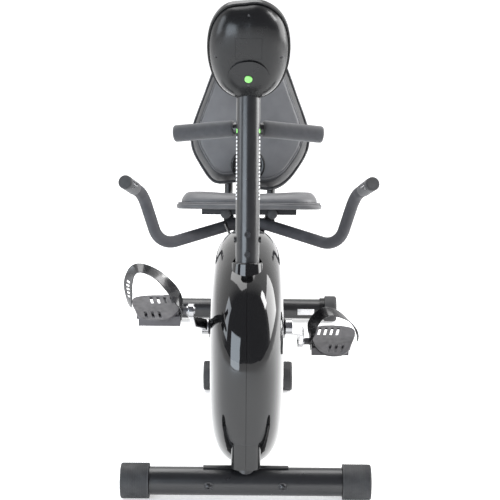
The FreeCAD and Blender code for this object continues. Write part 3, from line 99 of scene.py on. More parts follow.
class Finish:
    """A Principled material and short calls that add its procedural detail."""

    def __init__(self, name, roughness, metallic=0.0, **sockets):
        self.material = bpy.data.materials.new(name)
        self.material.use_nodes = True
        self.tree = self.material.node_tree
        self.shader = self.tree.nodes["Principled BSDF"]
        self.shader.inputs["Roughness"].default_value = roughness
        self.shader.inputs["Metallic"].default_value = metallic
        for socket, value in sockets.items():
            self.shader.inputs[socket.replace("_", " ")].default_value = value
        self.place = self.node("ShaderNodeTexCoord").outputs["Object"]

    def node(self, kind, **settings):
        node = self.tree.nodes.new(kind)
        for name, value in settings.items():
            setattr(node, name, value)
        return node

    def link(self, output, target):
        self.tree.links.new(output, target)

    def stretched(self, scale):
        """The place on the object, stretched by a scale along each axis."""
        mapping = self.node("ShaderNodeMapping")
        mapping.inputs["Scale"].default_value = scale
        self.link(self.place, mapping.inputs["Vector"])
        return mapping.outputs["Vector"]

    def noise(self, scale, detail=3.0, roughness=0.5, place=None):
        node = self.node("ShaderNodeTexNoise")
        node.inputs["Scale"].default_value = scale
        node.inputs["Detail"].default_value = detail
        node.inputs["Roughness"].default_value = roughness
        self.link(place or self.place, node.inputs["Vector"])
        return node.outputs["Fac"]

    def cells(self, scale, feature="F1", place=None):
        node = self.node("ShaderNodeTexVoronoi", feature=feature)
        node.inputs["Scale"].default_value = scale
        self.link(place or self.place, node.inputs["Vector"])
        return node.outputs["Distance"]

    def spread(self, factor, low, high, start=0.3, end=0.7):
        """A factor between two shares, turned into a value from low to high."""
        node = self.node("ShaderNodeMapRange")
        node.inputs["From Min"].default_value = start
        node.inputs["From Max"].default_value = end
        node.inputs["To Min"].default_value = low
        node.inputs["To Max"].default_value = high
        self.link(factor, node.inputs["Value"])
        return node.outputs["Result"]

    def colour(self, factor, dark, light, start=0.3, end=0.7):
        """The base colour goes from dark to light with a factor."""
        ramp = self.node("ShaderNodeValToRGB")
        ramp.color_ramp.elements[0].position = start
        ramp.color_ramp.elements[0].color = (*dark, 1)
        ramp.color_ramp.elements[1].position = end
        ramp.color_ramp.elements[1].color = (*light, 1)
        self.link(factor, ramp.inputs["Fac"])
        self.link(ramp.outputs["Color"], self.shader.inputs["Base Color"])
        return self

    def gloss(self, factor, low, high):
        """The roughness goes from low to high with a factor."""
        self.link(self.spread(factor, low, high), self.shader.inputs["Roughness"])
        return self

    def bumps(self, *layers):
        """Relief from layers of (height factor, strength, depth in metres)."""
        last = None
        for height, strength, depth in layers:
            bump = self.node("ShaderNodeBump")
            bump.inputs["Strength"].default_value = strength
            bump.inputs["Distance"].default_value = depth
            self.link(height, bump.inputs["Height"])
            if last:
                self.link(last, bump.inputs["Normal"])
            last = bump.outputs["Normal"]
        self.link(last, self.shader.inputs["Normal"])
        return self


def grey(value, blue=1.04):
    """A nearly neutral colour."""
    return (value, value, value * blue)


def painted_tube():
    finish = Finish("painted_tube", 0.3, Coat_Weight=0.3, Coat_Roughness=0.18)
    finish.colour(finish.noise(9.0, 4.0), grey(0.0085, 1.1), grey(0.0125, 1.1))
    finish.gloss(finish.noise(30.0, 5.0), 0.27, 0.36)
    return finish.bumps((finish.noise(1100.0, 2.0), 0.12, 0.0003)).material


def gloss_plastic():
    finish = Finish("gloss_plastic", 0.05, Coat_Weight=0.25, Coat_Roughness=0.02)
    finish.colour(finish.noise(5.0), grey(0.0035), grey(0.0055))
    finish.gloss(finish.noise(55.0, 6.0), 0.035, 0.075)
    return finish.bumps((finish.noise(14.0, 1.0), 0.05, 0.002)).material


def satin_plastic():
    finish = Finish("satin_plastic", 0.3, Specular_IOR_Level=0.35)
    finish.colour(finish.noise(12.0, 4.0), grey(0.007), grey(0.011))
    finish.gloss(finish.noise(45.0, 5.0), 0.20, 0.28)
    return finish.bumps((finish.noise(1800.0, 2.0), 0.10, 0.0002)).material


def rubber():
    finish = Finish("rubber", 0.65)
    finish.colour(finish.noise(60.0, 6.0), grey(0.027), grey(0.043))
    finish.gloss(finish.noise(25.0, 3.0), 0.55, 0.75)
    return finish.bumps((finish.noise(700.0, 4.0), 0.25, 0.0004)).material


def chrome():
    finish = Finish("chrome", 0.1, metallic=1.0)
    finish.colour(finish.noise(20.0), grey(0.34, 1.02), grey(0.44, 1.02))
    finish.gloss(finish.noise(90.0, 5.0), 0.10, 0.20)
    return finish.bumps((finish.noise(55.0, 2.0), 0.08, 0.001)).material


def zinc_steel():
    finish = Finish("zinc_steel", 0.35, metallic=1.0)
    finish.colour(finish.noise(160.0, 5.0), grey(0.30), grey(0.46))
    finish.gloss(finish.noise(240.0, 5.0), 0.26, 0.42)
    return finish.bumps((finish.noise(900.0, 3.0), 0.15, 0.0002)).material


def dark_steel():
    finish = Finish("dark_steel", 0.35, metallic=0.9)
    finish.colour(finish.noise(180.0, 5.0), grey(0.045), grey(0.075))
    finish.gloss(finish.noise(240.0, 5.0), 0.28, 0.42)
    return finish.bumps((finish.noise(900.0, 3.0), 0.15, 0.0002)).material


def handle_sleeve():
    """The matt vinyl that covers the seat's side handles."""
    finish = Finish("handle_sleeve", 0.65, Specular_IOR_Level=0.3)
    finish.colour(finish.noise(30.0, 5.0), grey(0.052, 1.1), grey(0.068, 1.1))
    finish.gloss(finish.noise(40.0, 4.0), 0.6, 0.75)
    return finish.bumps((finish.noise(800.0, 3.0), 0.2, 0.0003)).material


def cast_iron():
    finish = Finish("cast_iron", 0.55, metallic=0.8)
    finish.colour(finish.noise(70.0, 6.0), grey(0.030), grey(0.060))
    return finish.bumps((finish.noise(420.0, 5.0), 0.4, 0.0008)).material


def belt_rubber():
    finish = Finish("belt_rubber", 0.6)
    finish.colour(finish.noise(90.0, 4.0), grey(0.012), grey(0.022))
    wave = finish.node("ShaderNodeTexWave", bands_direction="X")
    wave.inputs["Scale"].default_value = 160.0
    finish.link(finish.place, wave.inputs["Vector"])
    return finish.bumps((wave.outputs["Fac"], 0.6, 0.0008)).material


def pedal_plastic():
    finish = Finish("pedal_plastic", 0.5)
    finish.colour(finish.noise(35.0, 5.0), (0.042, 0.040, 0.044), (0.064, 0.061, 0.067))
    finish.gloss(finish.noise(120.0, 4.0), 0.42, 0.6)
    return finish.bumps((finish.noise(650.0, 4.0), 0.35, 0.0004)).material


def strap_plastic():
    finish = Finish("strap_plastic", 0.25, Coat_Weight=0.5, Coat_Roughness=0.1)
    finish.colour(finish.noise(28.0, 4.0), grey(0.010, 1.1), grey(0.018, 1.1))
    finish.gloss(finish.noise(60.0, 4.0), 0.20, 0.32)
    return finish.bumps(
        (finish.noise(75.0, 2.0), 0.2, 0.0010),
        (finish.noise(900.0, 2.0), 0.08, 0.0002),
    ).material


def vinyl(name, dark, light):
    """Upholstery vinyl: fine leather grain, soft wear of gloss, faint unevenness of the foam below."""
    finish = Finish(name, 0.45, Coat_Weight=0.12, Coat_Roughness=0.35)
    finish.colour(finish.noise(16.0, 5.0), dark, light)
    finish.gloss(finish.noise(24.0, 4.0), 0.40, 0.55)
    grain = finish.cells(520.0, "DISTANCE_TO_EDGE")
    return finish.bumps(
        (finish.noise(18.0, 2.0), 0.18, 0.004),
        (finish.spread(grain, 0.0, 1.0, 0.0, 0.09), 0.22, 0.0004),
        (finish.noise(1400.0, 2.0), 0.10, 0.0002),
    ).material


def board():
    finish = Finish("board", 0.5)
    finish.colour(finish.noise(22.0, 4.0), grey(0.075), grey(0.105))
    finish.gloss(finish.noise(50.0, 4.0), 0.42, 0.58)
    return finish.bumps((finish.noise(1000.0, 3.0), 0.2, 0.0003)).material


def foam():
    """Closed-cell grip foam: small pores on a matt skin."""
    finish = Finish("foam", 0.8, Sheen_Weight=0.2, Sheen_Roughness=0.6)
    finish.colour(finish.noise(90.0, 6.0), grey(0.036, 1.08), grey(0.046, 1.08))
    pores = finish.cells(1100.0)
    return finish.bumps(
        (finish.noise(40.0, 2.0), 0.08, 0.001),
        (finish.spread(pores, 0.0, 1.0, 0.1, 0.6), 0.2, 0.0004),
    ).material


def sensor_metal():
    finish = Finish("sensor_metal", 0.22, metallic=1.0)
    finish.colour(finish.noise(40.0), grey(0.55, 1.02), grey(0.68, 1.02))
    brushed = finish.noise(260.0, 3.0, place=finish.stretched((1.0, 0.06, 0.06)))
    return finish.gloss(brushed, 0.16, 0.3).bumps((brushed, 0.12, 0.0002)).material


def screen_glass():
    finish = Finish("screen_glass", 0.05, Coat_Weight=1.0, Coat_Roughness=0.02)
    finish.colour(finish.noise(4.0), (0.010, 0.012, 0.012), (0.016, 0.019, 0.018))
    return finish.bumps((finish.noise(30.0, 1.0), 0.02, 0.0005)).material


def display_panel():
    """The grey-green panel of a liquid crystal display, with its faint raster."""
    finish = Finish("display_panel", 0.25)
    raster = finish.cells(700.0, "F1")
    finish.colour(raster, (0.150, 0.175, 0.145), (0.185, 0.212, 0.178), 0.1, 0.6)
    return finish.gloss(finish.noise(80.0), 0.2, 0.3).material


def coloured_plastic(name, dark, light):
    finish = Finish(name, 0.35)
    finish.colour(finish.noise(180.0, 4.0), dark, light)
    finish.gloss(finish.noise(90.0, 3.0), 0.28, 0.42)
    return finish.bumps((finish.noise(1300.0, 2.0), 0.12, 0.0002)).material


def label_film():
    finish = Finish("label_film", 0.4)
    finish.colour(finish.noise(220.0, 5.0), (0.70, 0.70, 0.71), (0.82, 0.82, 0.83))
    return finish.gloss(finish.noise(70.0), 0.34, 0.5).bumps((finish.noise(160.0), 0.1, 0.0002)).material


FINISHES = {
    "black_tube": painted_tube(),
    "gloss_plastic": gloss_plastic(),
    "satin_plastic": satin_plastic(),
    "rubber": rubber(),
    "chrome": chrome(),
    "zinc_steel": zinc_steel(),
    "dark_steel": dark_steel(),
    "handle_sleeve": handle_sleeve(),
    "cast_iron": cast_iron(),
    "belt_rubber": belt_rubber(),
    "pedal_plastic": pedal_plastic(),
    "strap": strap_plastic(),
    "cushion_vinyl": vinyl("cushion_vinyl", grey(0.090), grey(0.122)),
    # The border's vinyl is much darker than the panel's: painted shade standing in for the shade on the border's
    # angled face.
    "painted_shade_border_vinyl": vinyl("painted_shade_border_vinyl", grey(0.030), grey(0.045)),
    "board": board(),
    "foam": foam(),
    "sensor_metal": sensor_metal(),
    "screen": screen_glass(),
    "display_panel": display_panel(),
    "green_plastic": coloured_plastic("green_plastic", (0.20, 0.60, 0.13), (0.27, 0.70, 0.18)),
    "button_grey": coloured_plastic("button_grey", grey(0.16), grey(0.21)),
    "label_film": label_film(),
}


SPECIAL_FINISH = {"handle_tube": "handle_sleeve"}


def dress_nodes():
    """Gives every CAD node the finish of its slot in the record, or a special one."""
    slot_of = {entry["node"]: entry["material_slot"] for entry in frame["record"]["subparts"]}
    for name, node in NODES.items():
        for slot in node.material_slots:
            slot.material = FINISHES[SPECIAL_FINISH.get(name, slot_of[name])]


# Mesh helpers


def add_mesh(name, points, faces, finish, body, smooth=True):
    """A new piece from points and faces that rides on a body."""
    mesh = bpy.data.meshes.new(name)
    mesh.from_pydata([tuple(p) for p in points], [], faces)
    mesh.materials.append(FINISHES[finish])
    mesh.shade_smooth() if smooth else mesh.shade_flat()
    piece = bpy.data.objects.new(name, mesh)
    bpy.context.scene.collection.objects.link(piece)
    bm = bmesh.new()
    bm.from_mesh(mesh)
    bmesh.ops.recalc_face_normals(bm, faces=bm.faces)
    bm.to_mesh(mesh)
    bm.free()
    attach(piece, body)
    return piece


def apply_modifiers(piece):
    """Turns the piece's modifiers into its mesh."""
    bpy.context.view_layer.update()
    evaluated = piece.evaluated_get(bpy.context.evaluated_depsgraph_get())
    mesh = bpy.data.meshes.new_from_object(evaluated)
    piece.modifiers.clear()
    piece.data = mesh
    mesh.shade_smooth()


def modifier(piece, kind, **settings):
    added = piece.modifiers.new(kind.lower(), kind)
    for name, value in settings.items():
        setattr(added, name, value)
    return added


def square_to(along, hint):
    """Two directions square to a direction and to each other, the first near a hint."""
    side = (hint - along * hint.dot(along)).normalized()
    return side, along.cross(side)


def turned(name, start, end, profile, finish, body, segments=40):
    """A turned piece about the line from start to end. profile is pairs of (distance from start, radius)."""
    along = (end - start).normalized()
    side, other = square_to(along, Vector((0, 0, 1)) if abs(along.z) < 0.9 else Vector((1, 0, 0)))
    points, faces = [], []
    for distance, radius in profile:
        for k in range(segments):
            angle = 2 * math.pi * k / segments
            outward = side * math.cos(angle) + other * math.sin(angle)
            points.append(start + along * distance + outward * radius)
    for ring in range(len(profile) - 1):
        for k in range(segments):
            a, b = ring * segments + k, ring * segments + (k + 1) % segments
            faces.append((a, b, b + segments, a + segments))
    faces.append(tuple(range(segments)))
    faces.append(tuple((len(profile) - 1) * segments + k for k in range(segments)))
    return add_mesh(name, points, faces, finish, body)


def ring_cord(name, points, radius, finish, body, sides=10):
    """A closed cord of round section through points, such as piping."""
    count = len(points)
    verts, faces = [], []
    for i, point in enumerate(points):
        along = (points[(i + 1) % count] - points[i - 1]).normalized()
        side, other = square_to(along, Vector((0.3, 0.2, 1)).normalized())
        for k in range(sides):
            angle = 2 * math.pi * k / sides
            verts.append(point + (side * math.cos(angle) + other * math.sin(angle)) * radius)
    for i in range(count):
        for k in range(sides):
            a, b = i * sides + k, i * sides + (k + 1) % sides
            c = ((i + 1) % count) * sides
            faces.append((a, b, c + (k + 1) % sides, c + k))
    return add_mesh(name, verts, faces, finish, body)


def ends_of(node, side, direction):
    """The centres of both ends of a straight round piece on one side of the bike."""
    points = [v.co for v in NODES[node].data.vertices if v.co.x * side > 0]
    reach = [p.dot(direction) for p in points]
    low, high = min(reach), max(reach)
    edge = (high - low) * 0.06
    ends = []
    for test in (lambda r: r < low + edge, lambda r: r > high - edge):
        chosen = [p for p, r in zip(points, reach) if test(r)]
        corners = [[getattr(p, axis) for p in chosen] for axis in "xyz"]
        ends.append(Vector([(min(c) + max(c)) / 2 for c in corners]))
    return ends


# Cushions


def polar_outline(node, centre, across, up, count=120):
    """How far a node reaches from a centre, at evenly spaced angles in the plane of two directions."""
    reach = [0.0] * count
    mesh = NODES[node].data
    for edge in mesh.edges:
        ends = [mesh.vertices[i].co - centre for i in edge.vertices]
        for step in range(9):
            offset = ends[0].lerp(ends[1], step / 8)
            a, b = offset.dot(across), offset.dot(up)
            slot = round(math.atan2(b, a) / (2 * math.pi) * count) % count
            reach[slot] = max(reach[slot], math.hypot(a, b))
    for _ in range(2):
        reach = [max(r, (reach[i - 1] + reach[(i + 1) % count]) / 2 * 0.999) for i, r in enumerate(reach)]
    return reach


def reach_at(reach, a, b):
    """The outline's reach in the direction of a place."""
    turn = math.atan2(b, a) / (2 * math.pi) * len(reach)
    low = math.floor(turn)
    share = turn - low
    return reach[low % len(reach)] * (1 - share) + reach[(low + 1) % len(reach)] * share


PAD_SHRINK = 0.985
PAD_VOXEL = 0.005


def pad_copy(name, node, finish, body, shrink, centre, voxel):
    """A remeshed and slightly smaller copy of a soft CAD solid."""
    mesh = NODES[node].data.copy()
    mesh.name = name
    piece = bpy.data.objects.new(name, mesh)
    bpy.context.scene.collection.objects.link(piece)
    mesh.transform(Matrix.Translation(centre) @ Matrix.Scale(shrink, 4) @ Matrix.Translation(-centre))
    mesh.materials.clear()
    mesh.materials.append(FINISHES[finish])
    modifier(piece, "REMESH", mode="VOXEL", voxel_size=voxel)
    apply_modifiers(piece)
    modifier(piece, "SMOOTH", factor=0.5, iterations=6)
    apply_modifiers(piece)
    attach(piece, body)
    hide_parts(node)
    return piece


def evened(steps, edges, rounds=40):
    """Displacements averaged with those of their neighbours, so that a taut cover keeps no creases."""
    for _ in range(rounds):
        totals = [step.copy() for step in steps]
        counts = [1] * len(steps)
        for a, b in edges:
            totals[a] += steps[b]
            totals[b] += steps[a]
            counts[a] += 1
            counts[b] += 1
        steps = [total / count for total, count in zip(totals, counts)]
    return steps


def inflate(piece, cap, pressure=4.0, held=None):
    """Swells a closed pad by cloth simulation, and keeps each point within a cap of where it was."""
    before = [v.co.copy() for v in piece.data.vertices]
    group = piece.vertex_groups.new(name="held")
    group.add([v.index for v in piece.data.vertices if held(v.co)], 1.0, "REPLACE")
    cloth = piece.modifiers.new("inflate", "CLOTH")
    cloth.settings.use_pressure = True
    cloth.settings.uniform_pressure_force = pressure
    cloth.settings.effector_weights.gravity = 0.0
    cloth.settings.vertex_group_mass = "held"
    scene = bpy.context.scene
    for number in range(1, 21):
        scene.frame_set(number)
    evaluated = piece.evaluated_get(bpy.context.evaluated_depsgraph_get())
    moved = [v.co.copy() for v in evaluated.data.vertices]
    piece.modifiers.clear()
    scene.frame_set(1)
    steps = []
    for old, new in zip(before, moved):
        step = new - old
        steps.append(step * min(1.0, cap / max(step.length, 1e-6)))
    for vertex, old, step in zip(piece.data.vertices, before, evened(steps, piece.data.edge_keys)):
        vertex.co = old + step


def seat_place(point):
    """A point as (across, back along, up) in the seat's frame."""
    offset = point - SEAT_FRONT
    return offset.x, offset.dot(SEAT_BACKWARD), offset.dot(SEAT_RISE)


def on_seat(across, along, up):
    return SEAT_FRONT + Vector((across, 0, 0)) + SEAT_BACKWARD * along + SEAT_RISE * up


SEAT_MIDDLE = on_seat(0, SEAT_LENGTH / 2, SEAT_BASE_THICKNESS)
SEAT_DISH = 0.010


def seat_cushion():
    """The seat pad: flat on its base, crowned, and dished where the rider sits."""
    pad = pad_copy("seat_pad_cover", "seat_cushion", "cushion_vinyl", "seat", PAD_SHRINK, SEAT_MIDDLE, PAD_VOXEL)
    inflate(pad, 0.004, held=lambda p: seat_place(p)[2] < SEAT_BASE_THICKNESS + 0.004)
    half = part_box("seat_cushion")[1].x
    for vertex in pad.data.vertices:
        across, along, up = seat_place(vertex.co)
        height = max(0.0, min(1.0, (up - SEAT_BASE_THICKNESS - 0.012) / 0.025))
        dish = max(0.0, math.cos(math.pi / 2 * across / half)) ** 1.2
        floor_gap = SEAT_BASE_THICKNESS + 0.0003 - up
        vertex.co -= SEAT_RISE * SEAT_DISH * dish * height
        if floor_gap > 0:
            vertex.co += SEAT_RISE * floor_gap
    modifier(pad, "SUBSURF", levels=1, render_levels=1)
    apply_modifiers(pad)
    return pad


def seat_piping():
    """The cord sewn where the pad's cover meets the base."""
    reach = polar_outline("seat_cushion", SEAT_MIDDLE, Vector((1, 0, 0)), SEAT_BACKWARD)
    points = []
    for i, r in enumerate(reach):
        angle = 2 * math.pi * i / len(reach)
        across, along = r * math.cos(angle), r * math.sin(angle)
        points.append(on_seat(across, SEAT_LENGTH / 2 + along, SEAT_BASE_THICKNESS + 0.0014))
    ring_cord("seat_piping", points, 0.0020, "cushion_vinyl", "seat")


def back_place(point):
    """A point as (across, up, forward) in the backrest's frame."""
    offset = point - BACK_BOTTOM
    return offset.x, offset.dot(BACK_RISE), offset.dot(BACK_FORWARD)


def on_back(across, up, out):
    return BACK_BOTTOM + Vector((across, 0, 0)) + BACK_RISE * up + BACK_FORWARD * out


BACK_MIDDLE = on_back(0, BACK_MIDDLE_UP, 0)
PANEL_SHARE = 0.86


def surface_of(piece):
    """A search tree of a piece's faces."""
    bm = bmesh.new()
    bm.from_mesh(piece.data)
    tree = BVHTree.FromBMesh(bm)
    bm.free()
    return tree


def front_of_back(tree, across, up):
    """The foremost point of the backrest pad at a place across and up it."""
    start = on_back(across, up, 0.2)
    hit = tree.ray_cast(start, -BACK_FORWARD)[0]
    return hit or on_back(across, up, 0.02)


def back_cushion():
    """The backrest pad: a crowned panel inside a border painted darker as the shade of its angled face, with a sewn
    seam between them.
    """
    pad = pad_copy(
        "backrest_pad_cover", "backrest_cushion", "cushion_vinyl", "seat", PAD_SHRINK, BACK_MIDDLE, PAD_VOXEL
    )
    inflate(pad, 0.005, held=lambda p: back_place(p)[2] < 0.004)
    reach = polar_outline("backrest_cushion", BACK_MIDDLE, Vector((1, 0, 0)), BACK_RISE)

    def share(point):
        across, up, _ = back_place(point)
        return math.hypot(across, up - BACK_MIDDLE_UP) / reach_at(reach, across, up - BACK_MIDDLE_UP)

    modifier(pad, "SUBSURF", levels=1, render_levels=1)
    apply_modifiers(pad)
    for vertex in pad.data.vertices:
        across, up, out = back_place(vertex.co)
        seam = math.exp(-((share(vertex.co) - PANEL_SHARE) / 0.018) ** 2)
        if out > 0.02:
            vertex.co -= BACK_FORWARD * 0.0035 * seam
        elif out < 0.0006:
            vertex.co += BACK_FORWARD * (0.0006 - out)
    # The border faces take the darker colour, which is painted shade for their angled face.
    pad.data.materials.append(FINISHES["painted_shade_border_vinyl"])
    for face in pad.data.polygons:
        on_border = share(face.center) > PANEL_SHARE or back_place(face.center)[2] < 0.01
        face.material_index = 1 if on_border else 0
    tree = surface_of(pad)
    points = []
    for i, r in enumerate(reach):
        angle = 2 * math.pi * i / len(reach)
        across = r * PANEL_SHARE * math.cos(angle)
        up = BACK_MIDDLE_UP + r * PANEL_SHARE * math.sin(angle)
        points.append(front_of_back(tree, across, up) + BACK_FORWARD * 0.0004)
    ring_cord("backrest_piping", points, 0.0021, "cushion_vinyl", "seat")
    rim = []
    for i, r in enumerate(reach):
        angle = 2 * math.pi * i / len(reach)
        rim.append(on_back(r * 0.995 * math.cos(angle), BACK_MIDDLE_UP + r * 0.995 * math.sin(angle), 0.0022))
    ring_cord("backrest_rim_piping", rim, 0.0022, "cushion_vinyl", "seat")
    lumbar_disc(tree)
    return pad


LUMBAR_RADIUS = 0.049
LUMBAR_UP = 0.056
LUMBAR_ACROSS = -0.005


def lumbar_disc(tree):
    """The round dark insert low on the backrest, pressed into a shallow rim."""
    rings, segments = 14, 72
    points, faces = [], []
    for ring in range(rings + 1):
        radius = LUMBAR_RADIUS * ring / rings
        share = ring / rings
        bead = 0.0016 * math.exp(-((share - 0.93) / 0.05) ** 2)
        lift = 0.0012 + bead - 0.0022 * max(0.0, share - 0.97) / 0.03
        for k in range(segments):
            angle = 2 * math.pi * k / segments
            across = LUMBAR_ACROSS + radius * math.cos(angle)
            point = front_of_back(tree, across, LUMBAR_UP + radius * math.sin(angle))
            points.append(point + BACK_FORWARD * lift)
    for ring in range(rings):
        for k in range(segments):
            a, b = ring * segments + k, ring * segments + (k + 1) % segments
            faces.append((a, b, b + segments, a + segments))
    disc = add_mesh("lumbar_disc", points, faces, "satin_plastic", "seat")
    bm = bmesh.new()
    bm.from_mesh(disc.data)
    bmesh.ops.remove_doubles(bm, verts=bm.verts, dist=0.00001)
    bm.to_mesh(disc.data)
    bm.free()
    modifier(disc, "SOLIDIFY", thickness=0.0018, offset=-1.0)
    apply_modifiers(disc)
    return disc


# Foam


def foam_sleeve(name, start, end, radius, body):
    """A foam grip: rounded lips at both ends and a slightly uneven skin."""
    length = (end - start).length
    lip = 0.005
    profile = [(0.0, radius * 0.74), (0.0003, radius * 0.88), (lip * 0.35, radius * 0.965), (lip, radius)]
    steps = 14
    for i in range(1, steps):
        t = i / steps
        profile.append((lip + (length - 2 * lip) * t, radius * (1 + 0.006 * math.sin(9 * t + start.x * 40))))
    profile += [(length - d, r) for d, r in reversed(profile[:4])]
    piece = turned(name, start, end, profile, "foam", body, 56)
    return piece


def foam_grips():
    for side, label in ((1, "left"), (-1, "right")):
        start, end = ends_of("front_foam_grips", side, Vector((side, 0.2, -0.1)).normalized())
        grip = foam_sleeve(f"front_grip_{label}", start, end, 0.018, "frame")
        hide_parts("front_foam_grips")
        tip, root = ends_of("pulse_grips", side, Vector((-0.2 * side, 1.0, -0.35)).normalized())
        sleeve = foam_sleeve(f"seat_grip_{label}", tip, root, 0.0170, "seat")
        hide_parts("pulse_grips")


# Pedal straps


def pedal_place(side):
    """Turns a pedal's own frame into the bike's. Its X is outwards, and it is built for the rider's left."""
    label, sign = ("left", 1) if side > 0 else ("right", -1)
    centre = CRANK_PLACE + Vector((
        PEDAL_MIDDLE_X[label] * sign,
        sign * CRANK_LENGTH * math.cos(CRANK_ANGLE),
        -sign * CRANK_LENGTH * math.sin(CRANK_ANGLE),
    ))
    tilt = Matrix.Rotation(PEDAL_TILT[label], 4, "X")
    return Matrix.Translation(centre) @ tilt @ Matrix.Diagonal((sign, 1, 1, 1))


def smooth_line(points, count):
    """Evenly spaced points on a smooth curve through a few points."""
    dense = []
    padded = [points[0] * 2 - points[1], *points, points[-1] * 2 - points[-2]]
    for a, b, c, d in zip(padded, padded[1:], padded[2:], padded[3:]):
        for step in range(40):
            t = step / 40
            dense.append(
                0.5 * (2 * b + (c - a) * t + (2 * a - 5 * b + 4 * c - d) * t * t + (3 * b - a - 3 * c + d) * t ** 3)
            )
    dense.append(points[-1])
    lengths = [0.0]
    for p, q in zip(dense, dense[1:]):
        lengths.append(lengths[-1] + (q - p).length)
    line, index = [], 0
    for i in range(count):
        target = lengths[-1] * i / (count - 1)
        while index < len(lengths) - 2 and lengths[index + 1] < target:
            index += 1
        share = (target - lengths[index]) / (lengths[index + 1] - lengths[index])
        line.append(dense[index].lerp(dense[index + 1], share))
    return line


# Each strap's line over the foot plate as (outwards, up, twist in degrees), in mm, from its inner end
STRAPS = {
    "left": (
        (-51, -16, 0), (-53, 8, 5), (-50, 34, 45), (-46, 57, 55), (-30, 83, 30), (-6, 90, 5), (26, 72, -20),
        (46, 46, -25), (54, 24, -15), (55, 8, 0),
    ),
    "right": (
        (-51, -16, 0), (-52, 8, 5), (-42, 32, 40), (-29, 55, 40), (-3, 84, 20), (27, 99, 15), (46, 92, 30),
        (56, 64, 50), (56, 40, 50), (55, 10, 25),
    ),
}
STRAP_HOLES = 5
HOLE_PITCH = 5
STRAP_STEPS = 150
TWIST_SCALE = 0.001
STRAP_ACROSS = 10


def pedal_strap(side):
    """A moulded strap arched over the foot plate, with holes near its outer end."""
    label = "left" if side > 0 else "right"
    path = [Vector((x / 1000, math.radians(twist) * TWIST_SCALE, z / 1000)) for x, z, twist in STRAPS[label]]
    line = smooth_line(path, STRAP_STEPS)
    points = []
    for i, place in enumerate(line):
        ahead, behind = line[min(i + 1, STRAP_STEPS - 1)], line[max(i - 1, 0)]
        along = Vector((ahead.x - behind.x, 0, ahead.z - behind.z)).normalized()
        across = Matrix.Rotation(place.y / TWIST_SCALE, 3, along) @ Vector((0, 1, 0))
        share = i / (STRAP_STEPS - 1)
        taper = 1.0 - 0.22 * max(0.0, share - 0.66) / 0.34
        for k in range(STRAP_ACROSS + 1):
            offset = (k / STRAP_ACROSS - 0.5) * STRAP_WIDTH * taper
            points.append(Vector((place.x, 0, place.z)) + across * offset)
    faces = []
    first_hole = int(STRAP_STEPS * 0.76)
    for i in range(STRAP_STEPS - 1):
        for k in range(STRAP_ACROSS):
            step = i - first_hole
            in_hole = 0 <= step < STRAP_HOLES * HOLE_PITCH and step % HOLE_PITCH in (0, 1, 2) and 3 <= k <= 6
            if not in_hole:
                a = i * (STRAP_ACROSS + 1) + k
                faces.append((a, a + 1, a + STRAP_ACROSS + 2, a + STRAP_ACROSS + 1))
    to_bike = pedal_place(side)
    strap = add_mesh(f"strap_{label}", [to_bike @ p for p in points], faces, "strap", f"pedal_{label}")
    modifier(strap, "SOLIDIFY", thickness=STRAP_THICKNESS, offset=0.0)
    modifier(strap, "BEVEL", width=0.0005, segments=2, limit_method="ANGLE")
    modifier(strap, "SUBSURF", levels=1, render_levels=1)
    apply_modifiers(strap)
    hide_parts(f"pedal_strap_{label}")
    return strap


# Marks and small trim


def on_post(z, angle, radius):
    """A point on the post's skin. The angle is from straight ahead towards the rider's left."""
    centre = POST_FOOT + POST_UP * ((z - POST_FOOT.z) / POST_UP.z)
    return centre + (-POST_REAR * math.cos(angle) + Vector((1, 0, 0)) * math.sin(angle)) * radius


def skin_patch(name, place, rows, columns, finish, body):
    """A thin film on a curved skin. place gives the point of a (row share, column share)."""
    points = [place(r / rows, c / columns) for r in range(rows + 1) for c in range(columns + 1)]
    faces = []
    for r in range(rows):
        for c in range(columns):
            a = r * (columns + 1) + c
            faces.append((a, a + 1, a + columns + 2, a + columns + 1))
    patch = add_mesh(name, points, faces, finish, body)
    modifier(patch, "SOLIDIFY", thickness=0.00012, offset=0.0)
    apply_modifiers(patch)
    return patch


STRIPE_BOTTOM, STRIPE_TOP = 0.623, 0.756
STRIPE_BARS = 17
STRIPE_SPREAD = math.radians(26.0)
DOT_Z = 0.7635
DOT_RADIUS = 0.0050


def post_marks():
    """A plain dashed stripe with a green dot above it, on each side of the post."""
    radius = POST_RADIUS + 0.00012
    pitch = (STRIPE_TOP - STRIPE_BOTTOM) / STRIPE_BARS
    for side, label in ((1, "left"), (-1, "right")):
        for bar in range(STRIPE_BARS):
            low = STRIPE_BOTTOM + pitch * bar

            def bar_place(row, column, low=low, side=side):
                angle = side * (math.pi / 2 + STRIPE_SPREAD * (column * 2 - 1))
                return on_post(low + pitch * 0.55 * row, angle, radius)

            skin_patch(f"post_dash_{label}_{bar + 1}", bar_place, 1, 10, "label_film", "frame")

        def dot_place(row, column, side=side):
            turn = 2 * math.pi * column
            reach = DOT_RADIUS * max(row, 0.02)
            angle = side * (math.radians(72) + reach * math.cos(turn) / POST_RADIUS)
            return on_post(DOT_Z + reach * math.sin(turn), angle, radius)

        skin_patch(f"post_dot_{label}", dot_place, 3, 24, "green_plastic", "frame")


LABEL_X = (0.146, 0.196)
LABEL_ANGLES = (math.radians(-22), math.radians(14))


def rear_label():
    """A blank paper label on the rear floor bar's front."""
    low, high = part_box("rear_stabiliser")
    centre_y, centre_z = (low.y + high.y) / 2, (low.z + high.z) / 2
    radius = (high.z - low.z) / 2 + 0.00015

    def place(row, column):
        angle = LABEL_ANGLES[0] + (LABEL_ANGLES[1] - LABEL_ANGLES[0]) * row
        x = LABEL_X[0] + (LABEL_X[1] - LABEL_X[0]) * column
        return Vector((x, centre_y - radius * math.cos(angle), centre_z + radius * math.sin(angle)))

    skin_patch("rear_label", place, 8, 4, "label_film", "frame")


